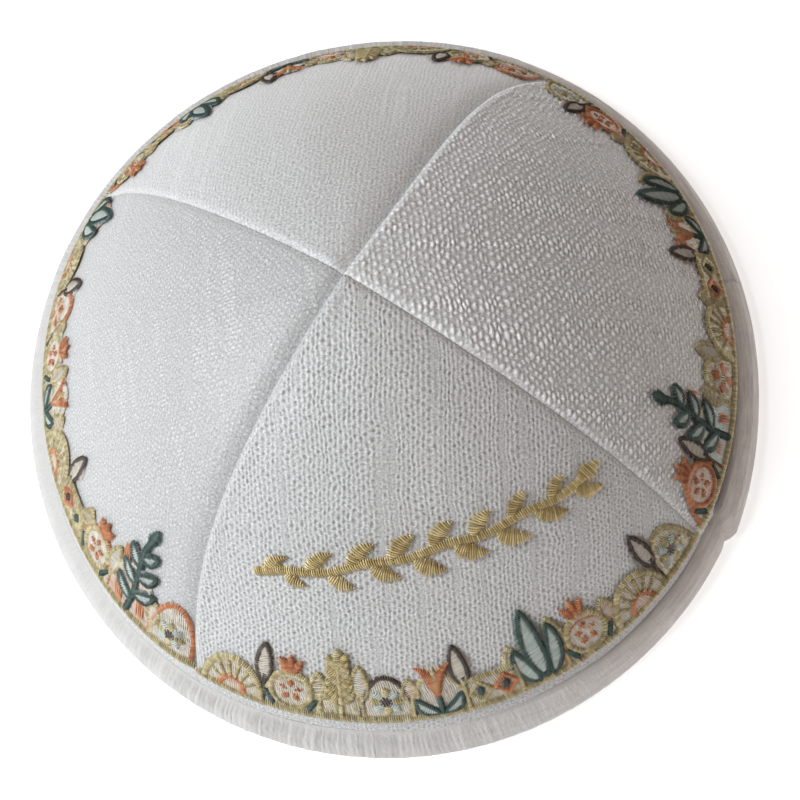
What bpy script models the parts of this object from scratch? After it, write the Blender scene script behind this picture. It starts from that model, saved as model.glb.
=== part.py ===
# A skullcap sewn from four cloth panels, with a bound rim, an embroidered border
# on each panel and an embroidered sprig on the front one.
# Metres, +Z up. The origin is the middle of the rim, on the surface that the cap
# rests on, and the front panel faces -Y.

import math

import bmesh
import bpy
import numpy as np
from mathutils import Vector

# The cap
RIM_WIDTH = 0.158  # cloth at the rim, left to right
RIM_LENGTH = 0.168  # cloth at the rim, front to back
DOME_HEIGHT = 0.061
RIM_SLOPE = math.radians(61)  # how steeply the wall stands at the rim
SLOPE_POWER = 0.65  # lower bends the crown over sooner
CROWN_LEFT = 0.002  # how far the crown sits off the middle
CROWN_FORWARD = 0.006
SQUARENESS = 0.012  # share by which the seams stand out past the mid-panels
CLEARANCE = 0.0003  # between pieces that lie against each other
SLOPE_STEP = 0.004  # normals are read over this share of the wall, and this turn

# The panels
CLOTH_THICKNESS = 0.0014
SEAM_GAP = 0.0003
SEAM_DIP = 0.0004  # how far the cloth is drawn in along a seam
SEAM_DIP_WIDTH = 0.0026
SEAM_DIP_FADE = 0.010  # the dip dies out over this height above the binding
CROWN_OPENING = 0.0010  # from the crown to each panel's blunt tip
PANEL_COLUMNS = 18
PANEL_ROWS = 12
SEAM_CROWDING = 0.5  # 0 spaces the columns evenly, 1 crowds them most towards the seams

# The binding, a ribbed tape folded over the panels' lower edge
BINDING_WIDTH = 0.0076
TAPE_THICKNESS = 0.0010
TAPE_ROUNDING = 0.0005
FOOT_START = 0.18  # the flat foot lies between these shares of the way from outside to inside
FOOT_END = 0.88
CLOTH_EDGE_UP = 0.0028  # how far the panels' edge stays above the fold
BINDING_SECTIONS = 96
LAP_AZIMUTH = math.radians(317)  # the tape's lapped end
LAP_LENGTH = math.radians(26)
LAP_RISE = 0.0016
LAP_FADE = 1.5  # power by which the rise dies out along the lap
LAP_STEP = math.radians(0.25)  # the step at the end is this wide
SHARP_ANGLE = math.radians(40)  # the tape's edges sharper than this are shaded sharp

# The embroidery
THREAD_RELIEF = 0.0006
BASE_LINE_UP = 0.0122  # from the rim to the middle of the border's base line
BASE_LINE_DROP = 0.0035  # how much closer to the rim the line comes
BASE_LINE_CLOSEST = math.radians(50)  # azimuth where it is closest
BASE_LINE_FALL = 1.3  # power by which it nears the rim towards there
BASE_LINE_WIDTH = 0.0014
BORDER_MARGIN = 0.0020  # bare cloth between the border and a seam
BORDER_LOWEST = 0.0060  # height of the border between its motifs
MOTIF_COLUMNS = 5  # columns of the border's solid across each motif
BORDER_ROWS = 3
SPRIG_LENGTH = 0.062
SPRIG_TURN = math.radians(2.7)  # the sprig's middle, right of the front's middle
SPRIG_END_UP = 0.0455  # from the rim to the sprig's ends
SPRIG_RISE = 0.0050  # its middle is this much higher
SPRIG_HALF_HEIGHT = 0.0042
SPRIG_STEM_WIDTH = 0.0012
SPRIG_LEAVES = 8  # along each side
SPRIG_FULLNESS = 0.8  # power of a leaf's outline, lower is fuller
SPRIG_COLUMNS = 48
SPRIG_ROWS = 4

# Seams, in degrees: azimuth at the crown, lean by the rim and bend halfway down
SEAMS = {
    "front_left": {"azimuth": -135, "lean": 6, "bend": -3.5},
    "front_right": {"azimuth": -45, "lean": 0.5, "bend": 1},
    "back_right": {"azimuth": 45, "lean": 3, "bend": 5},
    "back_left": {"azimuth": 135, "lean": -1, "bend": -1.5},
}

# Motifs of the border: width and height in metres
MOTIFS = {
    "fan": {"width": 0.0150, "height": 0.0100},
    "pomegranate": {"width": 0.0130, "height": 0.0155},
    "leaves": {"width": 0.0110, "height": 0.0200},
    "tulip": {"width": 0.0120, "height": 0.0140},
    "rosette": {"width": 0.0110, "height": 0.0105},
    "wheat": {"width": 0.0095, "height": 0.0190},
    "lattice": {"width": 0.0120, "height": 0.0080},
    "sprout": {"width": 0.0150, "height": 0.0280},
}

# Panels: the seams at its two sides, and its motifs from the first seam to the second
PANELS = {
    "front": {
        "seams": ("front_left", "front_right"),
        "motifs": (
            "fan", "pomegranate", "wheat", "rosette", "tulip",
            "lattice", "leaves", "pomegranate", "fan", "rosette",
        ),
    },
    "right": {
        "seams": ("front_right", "back_right"),
        "motifs": (
            "pomegranate", "sprout", "rosette", "fan", "lattice",
            "tulip", "leaves", "fan", "pomegranate", "rosette",
        ),
    },
    "back": {
        "seams": ("back_right", "back_left"),
        "motifs": (
            "rosette", "pomegranate", "fan", "wheat", "rosette",
            "tulip", "fan", "leaves", "lattice", "pomegranate",
        ),
    },
    "left": {
        "seams": ("back_left", "front_left"),
        "motifs": (
            "leaves", "fan", "rosette", "pomegranate", "tulip",
            "fan", "lattice", "pomegranate", "sprout", "rosette",
        ),
    },
}

COLOURS = {
    "cloth": (0.78, 0.79, 0.82),
    "binding": (0.74, 0.73, 0.74),
    "border": (0.50, 0.33, 0.12),
    "sprig": (0.52, 0.36, 0.10),
}


# Shape of the dome
def unit_profile(steps=200):
    """Shares of the rim radius and of the height, from the crown to the rim."""
    share = np.linspace(0.0, 1.0, steps + 1)
    slope = RIM_SLOPE * share**SLOPE_POWER
    out = np.concatenate([[0.0], np.cumsum((np.cos(slope[1:]) + np.cos(slope[:-1])) / 2)])
    down = np.concatenate([[0.0], np.cumsum((np.sin(slope[1:]) + np.sin(slope[:-1])) / 2)])
    return share, out / out[-1], 1.0 - down / down[-1]


SHARES, RADIUS_SHARES, HEIGHT_SHARES = unit_profile()
MEAN_RADIUS = (RIM_WIDTH + RIM_LENGTH) / 4
ARC_STEPS = np.hypot(np.diff(RADIUS_SHARES) * MEAN_RADIUS, np.diff(HEIGHT_SHARES) * DOME_HEIGHT)
ARC_LENGTHS = np.concatenate([[0.0], np.cumsum(ARC_STEPS)])


def share_down(distance):
    """The share at a distance down the wall from the crown."""
    return float(np.interp(distance, ARC_LENGTHS, SHARES))


def share_up(distance):
    """The share at a distance up the wall from the rim."""
    return share_down(ARC_LENGTHS[-1] - distance)


def up_from_rim(share):
    return float(ARC_LENGTHS[-1] - np.interp(share, SHARES, ARC_LENGTHS))


def oval_radius(azimuth):
    half_width = RIM_WIDTH / 2
    half_length = RIM_LENGTH / 2
    slant = math.hypot(half_length * math.cos(azimuth), half_width * math.sin(azimuth))
    return half_width * half_length / slant


def dome_point(share, azimuth):
    """A point of the cloth's outer face, before the seams draw it in."""
    square = 1 - SQUARENESS * math.sin(math.pi * share) * math.cos(4 * azimuth)
    radius = oval_radius(azimuth) * square * float(np.interp(share, SHARES, RADIUS_SHARES))
    height = DOME_HEIGHT * float(np.interp(share, SHARES, HEIGHT_SHARES))
    crown = 1 - share**2
    return Vector((
        radius * math.cos(azimuth) - CROWN_LEFT * crown,
        radius * math.sin(azimuth) - CROWN_FORWARD * crown,
        height,
    ))


def dome_normal(share, azimuth):
    high = min(share + SLOPE_STEP, 1.0)
    low = max(high - 2 * SLOPE_STEP, SLOPE_STEP)
    along = dome_point(low, azimuth) - dome_point(high, azimuth)
    across = dome_point(share, azimuth + SLOPE_STEP) - dome_point(share, azimuth - SLOPE_STEP)
    return across.cross(along).normalized()


def seam_azimuth(seam, share):
    row = SEAMS[seam]
    return math.radians(row["azimuth"] + row["lean"] * share + row["bend"] * math.sin(math.pi * share))


def seam_dip(share, azimuth):
    """How far the nearest seam draws the cloth in."""
    radius = MEAN_RADIUS * float(np.interp(share, SHARES, RADIUS_SHARES))
    turns = [math.remainder(azimuth - seam_azimuth(seam, share), math.tau) for seam in SEAMS]
    nearest = min(abs(turn) for turn in turns) * radius
    fade = min(max((up_from_rim(share) - BINDING_WIDTH) / SEAM_DIP_FADE, 0.0), 1.0)
    return SEAM_DIP * fade * math.exp(-((nearest / SEAM_DIP_WIDTH) ** 2))


def cap_point(share, azimuth, lift=0.0):
    """A point at a height over the cloth's outer face."""
    return dome_point(share, azimuth) + dome_normal(share, azimuth) * (lift - seam_dip(share, azimuth))


def panel_sides(panel, share, inset):
    """The azimuths of a panel's two sides, each a distance inside its seam."""
    first, second = PANELS[panel]["seams"]
    start = seam_azimuth(first, share)
    end = seam_azimuth(second, share)
    if end < start:
        end += math.tau
    middle = (start + end) / 2
    turn_start = inset / (dome_point(share, start) - dome_point(0.0, start)).xy.length
    turn_end = inset / (dome_point(share, end) - dome_point(0.0, end)).xy.length
    return min(start + turn_start, middle), max(end - turn_end, middle)


# Making objects
def add_material(name, colour, roughness, metallic=0.0):
    material = bpy.data.materials.new(name)
    material.use_nodes = True
    shader = material.node_tree.nodes["Principled BSDF"]
    shader.inputs["Base Color"].default_value = (*colour, 1.0)
    shader.inputs["Roughness"].default_value = roughness
    shader.inputs["Metallic"].default_value = metallic
    return material


def file_object(thing, collection, material):
    for old in list(thing.users_collection):
        old.objects.unlink(thing)
    collection.objects.link(thing)
    thing.data.materials.clear()
    thing.data.materials.append(material)


def add_sheet(name, columns, rows, place, thickness, side, collection, material):
    """A grid laid on the dome by place(across, up), thickened to one side of itself."""
    bpy.ops.mesh.primitive_grid_add(x_subdivisions=columns, y_subdivisions=rows, size=1.0)
    sheet = bpy.context.object
    sheet.name = name
    sheet.data.name = name
    for vertex in sheet.data.vertices:
        vertex.co = place(vertex.co.x + 0.5, vertex.co.y + 0.5)
    wall = sheet.modifiers.new("wall", "SOLIDIFY")
    wall.thickness = thickness
    wall.offset = side
    wall.use_quality_normals = True
    sheet.data.shade_smooth()
    file_object(sheet, collection, material)
    return sheet


def add_panel(panel, collection, material):
    lowest = share_up(CLOTH_EDGE_UP)
    highest = share_down(CROWN_OPENING)

    def place(across, up):
        share = lowest + (highest - lowest) * up
        start, end = panel_sides(panel, share, SEAM_GAP / 2)
        crowded = (1 - math.cos(math.pi * across)) / 2
        across += (crowded - across) * SEAM_CROWDING
        return cap_point(share, start + (end - start) * across)

    name = "panel_" + panel
    return add_sheet(name, PANEL_COLUMNS, PANEL_ROWS, place, CLOTH_THICKNESS, -1, collection, material)


def motif_place(panel, across):
    """Where a share of the border's columns lies: its share of the width, and its height."""
    kinds = PANELS[panel]["motifs"]
    widths = [MOTIFS[kind]["width"] for kind in kinds]
    index = min(int(across * len(kinds)), len(kinds) - 1)
    inside = across * len(kinds) - index
    offset = 2 * inside - 1
    height = MOTIFS[kinds[index]]["height"] * math.sqrt(max(1 - offset**2, 0.0))
    return (sum(widths[:index]) + widths[index] * inside) / sum(widths), max(height, BORDER_LOWEST)


def base_line_up(azimuth):
    """Height of the border's base line, which runs askew round the cap."""
    near = (1 + math.cos(azimuth - BASE_LINE_CLOSEST)) / 2
    return BASE_LINE_UP - BASE_LINE_DROP * near**BASE_LINE_FALL


def add_border(panel, collection, material):
    base_start, base_end = panel_sides(panel, share_up(BASE_LINE_UP), BORDER_MARGIN)

    def place(across, up):
        along, height = motif_place(panel, across)
        base_up = base_line_up(base_start + (base_end - base_start) * along)
        bottom = base_up - BASE_LINE_WIDTH / 2
        top = base_up + height
        share = share_up(bottom + (top - bottom) * up)
        start, end = panel_sides(panel, share, BORDER_MARGIN)
        return cap_point(share, start + (end - start) * along, CLEARANCE)

    name = "border_embroidery_" + panel
    columns = MOTIF_COLUMNS * len(PANELS[panel]["motifs"])
    return add_sheet(name, columns, BORDER_ROWS, place, THREAD_RELIEF, 1, collection, material)


def sprig_half_height(across, phase):
    """Half the sprig's height: leaf after leaf along one side, smaller at its ends."""
    taper = math.sqrt(max(1 - (2 * across - 1) ** 2, 0.0))
    leaf = abs(math.sin(math.pi * (SPRIG_LEAVES * across + phase))) ** SPRIG_FULLNESS
    return SPRIG_STEM_WIDTH / 2 + (SPRIG_HALF_HEIGHT - SPRIG_STEM_WIDTH / 2) * leaf * taper


def add_sprig(collection, material):
    middle = -math.pi / 2 + SPRIG_TURN
    middle_up = SPRIG_END_UP + SPRIG_RISE
    radius = MEAN_RADIUS * float(np.interp(share_up(middle_up), SHARES, RADIUS_SHARES))

    def place(across, up):
        side = 2 * up - 1
        half = sprig_half_height(across, 0.0 if side > 0 else 0.5)
        arc = SPRIG_END_UP + SPRIG_RISE * (1 - (2 * across - 1) ** 2)
        azimuth = middle + SPRIG_LENGTH / radius * (across - 0.5)
        return cap_point(share_up(arc + half * side), azimuth, CLEARANCE)

    return add_sheet("front_sprig", SPRIG_COLUMNS, SPRIG_ROWS, place, THREAD_RELIEF, 1, collection, material)


def lap_rise(azimuth):
    """How far the tape stands out where its end laps over its start."""
    turned = (azimuth - LAP_AZIMUTH) % math.tau
    return LAP_RISE * max(1 - turned / LAP_LENGTH, 0.0) ** LAP_FADE


def wall_point(up, azimuth, lift):
    share = share_up(up)
    return dome_point(share, azimuth) + dome_normal(share, azimuth) * lift


def binding_section(azimuth, rise):
    """The folded tape's outline at one azimuth, with a flat foot on the ground."""
    outer = CLEARANCE + TAPE_THICKNESS + rise
    inner = -CLOTH_THICKNESS - CLEARANCE - TAPE_THICKNESS
    slot = CLOTH_EDGE_UP - CLEARANCE
    fold_up = CLOTH_EDGE_UP - CLEARANCE - TAPE_THICKNESS
    outer_low = wall_point(fold_up / 2, azimuth, outer)
    inner_low = wall_point(fold_up + TAPE_THICKNESS, azimuth, inner)
    outer_foot = outer_low.lerp(inner_low, FOOT_START)
    inner_foot = outer_low.lerp(inner_low, FOOT_END)
    outer_foot.z = 0.0
    inner_foot.z = 0.0
    return [
        wall_point(BINDING_WIDTH, azimuth, CLEARANCE),
        wall_point(BINDING_WIDTH, azimuth, outer - TAPE_ROUNDING),
        wall_point(BINDING_WIDTH - TAPE_ROUNDING, azimuth, outer),
        wall_point(BINDING_WIDTH / 2, azimuth, outer + TAPE_ROUNDING / 2),
        outer_low,
        outer_foot,
        inner_foot,
        inner_low,
        wall_point(BINDING_WIDTH - TAPE_ROUNDING, azimuth, inner),
        wall_point(BINDING_WIDTH, azimuth, inner + TAPE_ROUNDING),
        wall_point(BINDING_WIDTH, azimuth, -CLOTH_THICKNESS - CLEARANCE),
        wall_point(slot, azimuth, -CLOTH_THICKNESS - CLEARANCE),
        wall_point(slot, azimuth, CLEARANCE),
    ]


def add_binding(collection, material):
    """A loft, because its section changes round the oval rim and at the lapped end."""
    turn = (math.tau - LAP_STEP) / BINDING_SECTIONS
    sections = [binding_section(LAP_AZIMUTH, 0.0)]
    for index in range(BINDING_SECTIONS):
        azimuth = LAP_AZIMUTH + LAP_STEP + turn * index
        rise = LAP_RISE if index == 0 else lap_rise(azimuth)
        sections.append(binding_section(azimuth, rise))
    mesh = bpy.data.meshes.new("rim_binding")
    shape = bmesh.new()
    rings = [[shape.verts.new(point) for point in section] for section in sections]
    for index, ring in enumerate(rings):
        following = rings[(index + 1) % len(rings)]
        for corner in range(len(ring)):
            after = (corner + 1) % len(ring)
            shape.faces.new((ring[corner], ring[after], following[after], following[corner]))
    bmesh.ops.recalc_face_normals(shape, faces=shape.faces)
    shape.to_mesh(mesh)
    shape.free()
    binding = bpy.data.objects.new("rim_binding", mesh)
    mesh.shade_smooth()
    mesh.set_sharp_from_angle(angle=SHARP_ANGLE)
    file_object(binding, collection, material)
    return binding


def main():
    for thing in list(bpy.data.objects):
        bpy.data.objects.remove(thing, do_unlink=True)
    collection = bpy.data.collections.new("skullcap")
    bpy.context.scene.collection.children.link(collection)
    cloth = add_material("white_cloth", COLOURS["cloth"], 0.75)
    tape = add_material("white_tape", COLOURS["binding"], 0.8)
    border_thread = add_material("border_thread", COLOURS["border"], 0.45)
    sprig_thread = add_material("gold_thread", COLOURS["sprig"], 0.4, 0.3)
    for panel in PANELS:
        add_panel(panel, collection, cloth)
        add_border(panel, collection, border_thread)
    add_binding(collection, tape)
    add_sprig(collection, sprig_thread)


main()
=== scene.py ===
import math

import bmesh
import bpy
import numpy as np
from mathutils import Matrix, Vector


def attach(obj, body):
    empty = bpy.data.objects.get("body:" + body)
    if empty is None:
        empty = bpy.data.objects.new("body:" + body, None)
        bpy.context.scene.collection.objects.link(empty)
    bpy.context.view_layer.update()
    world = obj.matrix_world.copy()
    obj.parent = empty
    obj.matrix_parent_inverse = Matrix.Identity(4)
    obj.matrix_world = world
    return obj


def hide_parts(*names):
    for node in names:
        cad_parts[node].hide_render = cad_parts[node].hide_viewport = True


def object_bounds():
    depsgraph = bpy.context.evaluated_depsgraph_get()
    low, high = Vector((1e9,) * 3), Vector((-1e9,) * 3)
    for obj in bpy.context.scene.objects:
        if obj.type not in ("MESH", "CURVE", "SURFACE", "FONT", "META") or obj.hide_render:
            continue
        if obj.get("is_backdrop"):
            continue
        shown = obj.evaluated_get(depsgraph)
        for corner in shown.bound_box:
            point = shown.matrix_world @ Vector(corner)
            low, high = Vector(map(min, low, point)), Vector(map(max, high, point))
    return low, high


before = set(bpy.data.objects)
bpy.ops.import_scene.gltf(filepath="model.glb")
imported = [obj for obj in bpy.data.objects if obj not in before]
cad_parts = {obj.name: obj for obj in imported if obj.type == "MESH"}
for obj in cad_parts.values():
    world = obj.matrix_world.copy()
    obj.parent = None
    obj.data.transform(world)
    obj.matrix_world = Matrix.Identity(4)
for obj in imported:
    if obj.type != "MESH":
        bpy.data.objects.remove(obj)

# Looks of a four-panel skullcap: woven faces, ribbed binding, stitched border and sprig.
# Metres, +Z up, front panel towards -Y, as in the frame.

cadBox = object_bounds()
mm = 0.001
root = "root"
print("frame loaded")


# The dome, with the same sizes as the frame's solids
dome = {
    "rimWidth": 0.158,
    "rimLength": 0.168,
    "height": 0.061,
    "rimSlope": math.radians(61),
    "slopePower": 0.65,
    "crownLeft": 0.002,
    "crownForward": 0.006,
    "squareness": 0.012,
    "waves": 0.30 * mm,  # slow waves in the cloth
    "clothThickness": 1.4 * mm,
}

seams = {  # degrees: azimuth at the crown, lean by the rim, bend halfway; side that lies lower
    "frontLeft": {"azimuth": -135, "lean": 6, "bend": -3.5, "lowSide": -1},
    "frontRight": {"azimuth": -45, "lean": 0.5, "bend": 1, "lowSide": 0},
    "backRight": {"azimuth": 45, "lean": 3, "bend": 5, "lowSide": 1},
    "backLeft": {"azimuth": 135, "lean": -1, "bend": -1.5, "lowSide": 0},
}

seamShape = {
    "groove": 0.42 * mm,  # drawn in along the seam line
    "grooveWidth": 0.75 * mm,
    "step": 1.25 * mm,  # how much lower the low side starts
    "stepWidth": 2.5 * mm,
    "roll": 0.22 * mm,  # the other side swells a little beside the line
    "rollAt": 1.3 * mm,
    "rollWidth": 1.2 * mm,
    "fadeFrom": 7.8 * mm,  # flat under the binding
    "fadeOver": 9 * mm,
}

# Each panel is cut from the same cloth, but its yarns meet the light another way, so it shows
# either pits between bright strands (net 1) or beads (net 0). Columns run along the grain or
# square to it, and the pits or beads of neighbouring columns stand half a cell apart.
# low and high are the weave's colours in its pits and on its tops. The low colour is painted shade in the pits, and
# each panel's pair is set lighter or darker as painted light, so the panels are lit and shaded copies of the one cloth.
panels = {
    "front": {
        "seams": ("frontLeft", "frontRight"),
        "grain": -103,
        "columnsAlongGrain": True,
        "column": 0.95 * mm,
        "cell": 1.58 * mm,
        "lines": (4, 4),  # mesh lines to a column and to a cell
        "net": 1.0,
        "relief": 0.20 * mm,
        "slubs": (0.61, 0.70),  # the higher the rarer: along the columns, across them
        "low": 0.37,
        "high": 0.77,
    },
    "right": {
        "seams": ("frontRight", "backRight"),
        "grain": -4,
        "columnsAlongGrain": False,
        "column": 1.14 * mm,
        "cell": 1.86 * mm,
        "lines": (4, 4),
        "net": 0.0,
        "relief": 0.37 * mm,
        "slubs": (0.80, 0.58),
        "low": 0.68,
        "high": 1.0,
    },
    "back": {
        "seams": ("backRight", "backLeft"),
        "grain": 76,
        "columnsAlongGrain": True,
        "column": 0.95 * mm,
        "cell": 1.58 * mm,
        "lines": (3, 3),
        "net": 0.75,
        "relief": 0.18 * mm,
        "slubs": (0.61, 0.74),
        "low": 0.50,
        "high": 0.87,
    },
    "left": {
        "seams": ("backLeft", "frontLeft"),
        "grain": 176,
        "columnsAlongGrain": True,
        "column": 0.90 * mm,
        "cell": 1.36 * mm,
        "lines": (3, 3),
        "net": 0.25,
        "relief": 0.17 * mm,
        "slubs": (0.90, 0.60),
        "low": 0.52,
        "high": 0.79,
    },
}


def unitProfile(steps=400):
    share = np.linspace(0.0, 1.0, steps + 1)
    slope = dome["rimSlope"] * share ** dome["slopePower"]
    out = np.concatenate([[0.0], np.cumsum((np.cos(slope[1:]) + np.cos(slope[:-1])) / 2)])
    down = np.concatenate([[0.0], np.cumsum((np.sin(slope[1:]) + np.sin(slope[:-1])) / 2)])
    return share, out / out[-1], 1.0 - down / down[-1]


shares, radiusShares, heightShares = unitProfile()
meanRadius = (dome["rimWidth"] + dome["rimLength"]) / 4
arcSteps = np.hypot(np.diff(radiusShares) * meanRadius, np.diff(heightShares) * dome["height"])
arcLengths = np.concatenate([[0.0], np.cumsum(arcSteps)])
wallLength = float(arcLengths[-1])  # crown to rim along the wall


def shareUp(distance):
    return np.interp(wallLength - np.asarray(distance, float), arcLengths, shares)


def upFromRim(share):
    return wallLength - np.interp(share, shares, arcLengths)


def radiusAt(share):
    return meanRadius * np.interp(share, shares, radiusShares)


def domePoint(share, azimuth):
    share, azimuth = np.broadcast_arrays(np.asarray(share, float), np.asarray(azimuth, float))
    halfWidth = dome["rimWidth"] / 2
    halfLength = dome["rimLength"] / 2
    oval = halfWidth * halfLength / np.hypot(halfLength * np.cos(azimuth), halfWidth * np.sin(azimuth))
    square = 1 - dome["squareness"] * np.sin(np.pi * share) * np.cos(4 * azimuth)
    radius = oval * square * np.interp(share, shares, radiusShares)
    height = dome["height"] * np.interp(share, shares, heightShares)
    crown = 1 - share**2
    x = radius * np.cos(azimuth) - dome["crownLeft"] * crown
    y = radius * np.sin(azimuth) - dome["crownForward"] * crown
    return np.stack([x, y, height], axis=-1)


def domeNormal(share, azimuth, step=0.004):
    share = np.asarray(share, float)
    high = np.minimum(share + step, 1.0)
    low = np.maximum(high - 2 * step, step)
    along = domePoint(low, azimuth) - domePoint(high, azimuth)
    middle = np.maximum(share, step)
    across = domePoint(middle, azimuth + step) - domePoint(middle, azimuth - step)
    normal = np.cross(across, along)
    return normal / np.linalg.norm(normal, axis=-1, keepdims=True)


def seamAzimuth(seam, share):
    row = seams[seam]
    return np.radians(row["azimuth"] + row["lean"] * share + row["bend"] * np.sin(np.pi * share))


def wrapAngle(angle):
    return (angle + np.pi) % math.tau - np.pi


def seamDip(share, azimuth):
    # how far the cloth is drawn in beside the seams; the low side of a stepped seam starts lower
    fade = np.clip((upFromRim(share) - seamShape["fadeFrom"]) / seamShape["fadeOver"], 0, 1)
    away = np.clip(radiusAt(share) / (5 * mm), 0, 1)  # swelling dies out at the crown
    size = np.broadcast(share, azimuth).shape
    groove, step, roll = np.zeros(size), np.zeros(size), np.zeros(size)
    for seam, row in seams.items():
        distance = wrapAngle(azimuth - seamAzimuth(seam, share)) * radiusAt(share)
        reach = np.abs(distance)
        groove = np.maximum(groove, seamShape["groove"] * np.exp(-((reach / seamShape["grooveWidth"]) ** 2)))
        if row["lowSide"]:
            low = seamShape["step"] * np.exp(-((reach / seamShape["stepWidth"]) ** 1.6))
            step = np.maximum(step, np.where(distance * row["lowSide"] > 0, low, 0.0))
            swell = np.exp(-(((reach - seamShape["rollAt"]) / seamShape["rollWidth"]) ** 2))
            roll = roll + np.where(distance * row["lowSide"] > 0, 0.0, seamShape["roll"] * swell)
    return (groove + step - roll * away) * fade


def slowWaves(share, azimuth):
    wave = np.sin(3 * azimuth + 1.1 + 4 * share) * 0.5 + np.sin(7 * azimuth - 0.6 - 6 * share) * 0.3
    wave = wave + np.sin(13 * azimuth + 2.2 + 9 * share) * 0.2
    return dome["waves"] * wave * np.sin(np.pi * np.clip(share, 0, 1)) ** 0.7


def capPoint(share, azimuth, lift=0.0, dipShare=1.0):
    share, azimuth = np.broadcast_arrays(np.asarray(share, float), np.asarray(azimuth, float))
    rise = lift - dipShare * seamDip(share, azimuth) + slowWaves(share, azimuth)
    return domePoint(share, azimuth) + domeNormal(share, azimuth) * rise[..., None]


def panelSides(panel, share, inset):
    first, second = panels[panel]["seams"]
    start = seamAzimuth(first, share)
    end = seamAzimuth(second, share)
    end = np.where(end < start, end + math.tau, end)
    turn = inset / np.maximum(radiusAt(share), 0.1 * mm)
    middle = (start + end) / 2
    return np.minimum(start + turn, middle), np.maximum(end - turn, middle)


baseLine = {"up": 12.2 * mm, "drop": 3.5 * mm, "closest": math.radians(50), "fall": 1.3}


def baseLineUp(azimuth):
    # height of the border's base line, which runs askew round the cap
    near = (1 + np.cos(azimuth - baseLine["closest"])) / 2
    return baseLine["up"] - baseLine["drop"] * near ** baseLine["fall"]


# Cloth coordinates of a panel: along its grain and square to it, as on a ball
ballAngle = math.radians(70.5)
ballRadius = wallLength / ballAngle


def clothToDome(panel, side, down):
    angle = np.arccos(np.clip(np.cos(side / ballRadius) * np.cos(down / ballRadius), -1, 1))
    turn = np.arctan2(np.sin(side / ballRadius), np.cos(side / ballRadius) * np.sin(down / ballRadius))
    return angle / ballAngle, math.radians(panels[panel]["grain"]) + turn


def domeToCloth(panel, share, azimuth):
    angle = share * ballAngle
    turn = wrapAngle(azimuth - math.radians(panels[panel]["grain"]))
    side = ballRadius * np.arcsin(np.sin(angle) * np.sin(turn))
    down = ballRadius * np.arctan2(np.sin(angle) * np.cos(turn), np.cos(angle))
    return side, down


def valueNoise(x, y, seed, size=64):
    # smooth noise between -1 and 1, one value to a unit square
    grid = np.random.default_rng(seed).uniform(-1, 1, (size, size))
    column, row = np.floor(x).astype(int), np.floor(y).astype(int)
    u, v = x - column, y - row
    u, v = u * u * (3 - 2 * u), v * v * (3 - 2 * v)
    after, above = (column + 1) % size, (row + 1) % size
    column, row = column % size, row % size
    low = grid[column, row] * (1 - u) + grid[after, row] * u
    high = grid[column, above] * (1 - u) + grid[after, above] * u
    return low * (1 - v) + high * v


# Mesh helpers
def makeMeshObject(name, points, faces, material=None, edges=()):
    mesh = bpy.data.meshes.new(name)
    mesh.from_pydata([tuple(point) for point in points], edges, faces)
    if faces:
        mesh.validate()
        mesh.shade_smooth()
    thing = bpy.data.objects.new(name, mesh)
    bpy.context.scene.collection.objects.link(thing)
    if material:
        mesh.materials.append(material)
    return thing


def storeFloats(mesh, name, values):
    layer = mesh.attributes.new(name, "FLOAT", "POINT")
    layer.data.foreach_set("value", np.asarray(values, np.float32))


def storeVectors(mesh, name, values):
    layer = mesh.attributes.new(name, "FLOAT_VECTOR", "POINT")
    layer.data.foreach_set("vector", np.asarray(values, np.float32).ravel())


def storeUv(mesh, name, uvPerPoint):
    layer = mesh.uv_layers.new(name=name)
    corners = np.empty(len(mesh.loops), np.int32)
    mesh.loops.foreach_get("vertex_index", corners)
    layer.data.foreach_set("uv", np.asarray(uvPerPoint, np.float32)[corners].ravel())


def gridFaces(columns, rows, ringColumns=False, ringRows=False):
    # quads between neighbouring columns and rows; a ring closes on itself
    faces = []
    for column in range(columns if ringColumns else columns - 1):
        here = column * rows
        after = (column + 1) % columns * rows
        for row in range(rows if ringRows else rows - 1):
            above = (row + 1) % rows
            faces.append((here + row, after + row, after + above, here + above))
    return faces


# Node helpers
def addNode(tree, kind, inputs=None, **settings):
    node = tree.nodes.new(kind)
    for key, value in settings.items():
        setattr(node, key, value)
    for name, value in (inputs or {}).items():
        plug(tree, node.inputs[name], value)
    return node


def plug(tree, target, value):
    if isinstance(value, bpy.types.NodeSocket):
        tree.links.new(value, target)
    else:
        target.default_value = value


def calc(tree, operation, *values, clamp=False, kind="ShaderNodeMath"):
    node = addNode(tree, kind, operation=operation)
    if kind == "ShaderNodeMath":
        node.use_clamp = clamp
    for socket, value in zip(node.inputs, values):
        plug(tree, socket, value)
    return node.outputs[0]


def vectorCalc(tree, operation, *values):
    return calc(tree, operation, *values, kind="ShaderNodeVectorMath")


def scaleVector(tree, vector, factor):
    sockets = {0: vector, "Scale": factor}
    return addNode(tree, "ShaderNodeVectorMath", sockets, operation="SCALE").outputs[0]


def combine(tree, *values):
    return addNode(tree, "ShaderNodeCombineXYZ", dict(enumerate(values))).outputs[0]


def split(tree, vector):
    return addNode(tree, "ShaderNodeSeparateXYZ", {0: vector}).outputs


def noiseAt(tree, vector, size, detail=0.0, roughness=0.5):
    sockets = {"Vector": vector, "Scale": size, "Detail": detail, "Roughness": roughness}
    return addNode(tree, "ShaderNodeTexNoise", sockets)


def randomNumber(tree, seed, low=0.0, high=1.0):
    node = addNode(tree, "FunctionNodeRandomValue", data_type="FLOAT")
    sockets = {socket.name: socket for socket in node.inputs if socket.enabled}
    for name, value in (("Min", low), ("Max", high), ("Seed", seed)):
        plug(tree, sockets[name], value)
    return next(socket for socket in node.outputs if socket.enabled)


def readAttribute(tree, name, kind="FLOAT"):
    node = addNode(tree, "GeometryNodeInputNamedAttribute", {"Name": name}, data_type=kind)
    return next(socket for socket in node.outputs if socket.enabled and socket.name == "Attribute")


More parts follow.
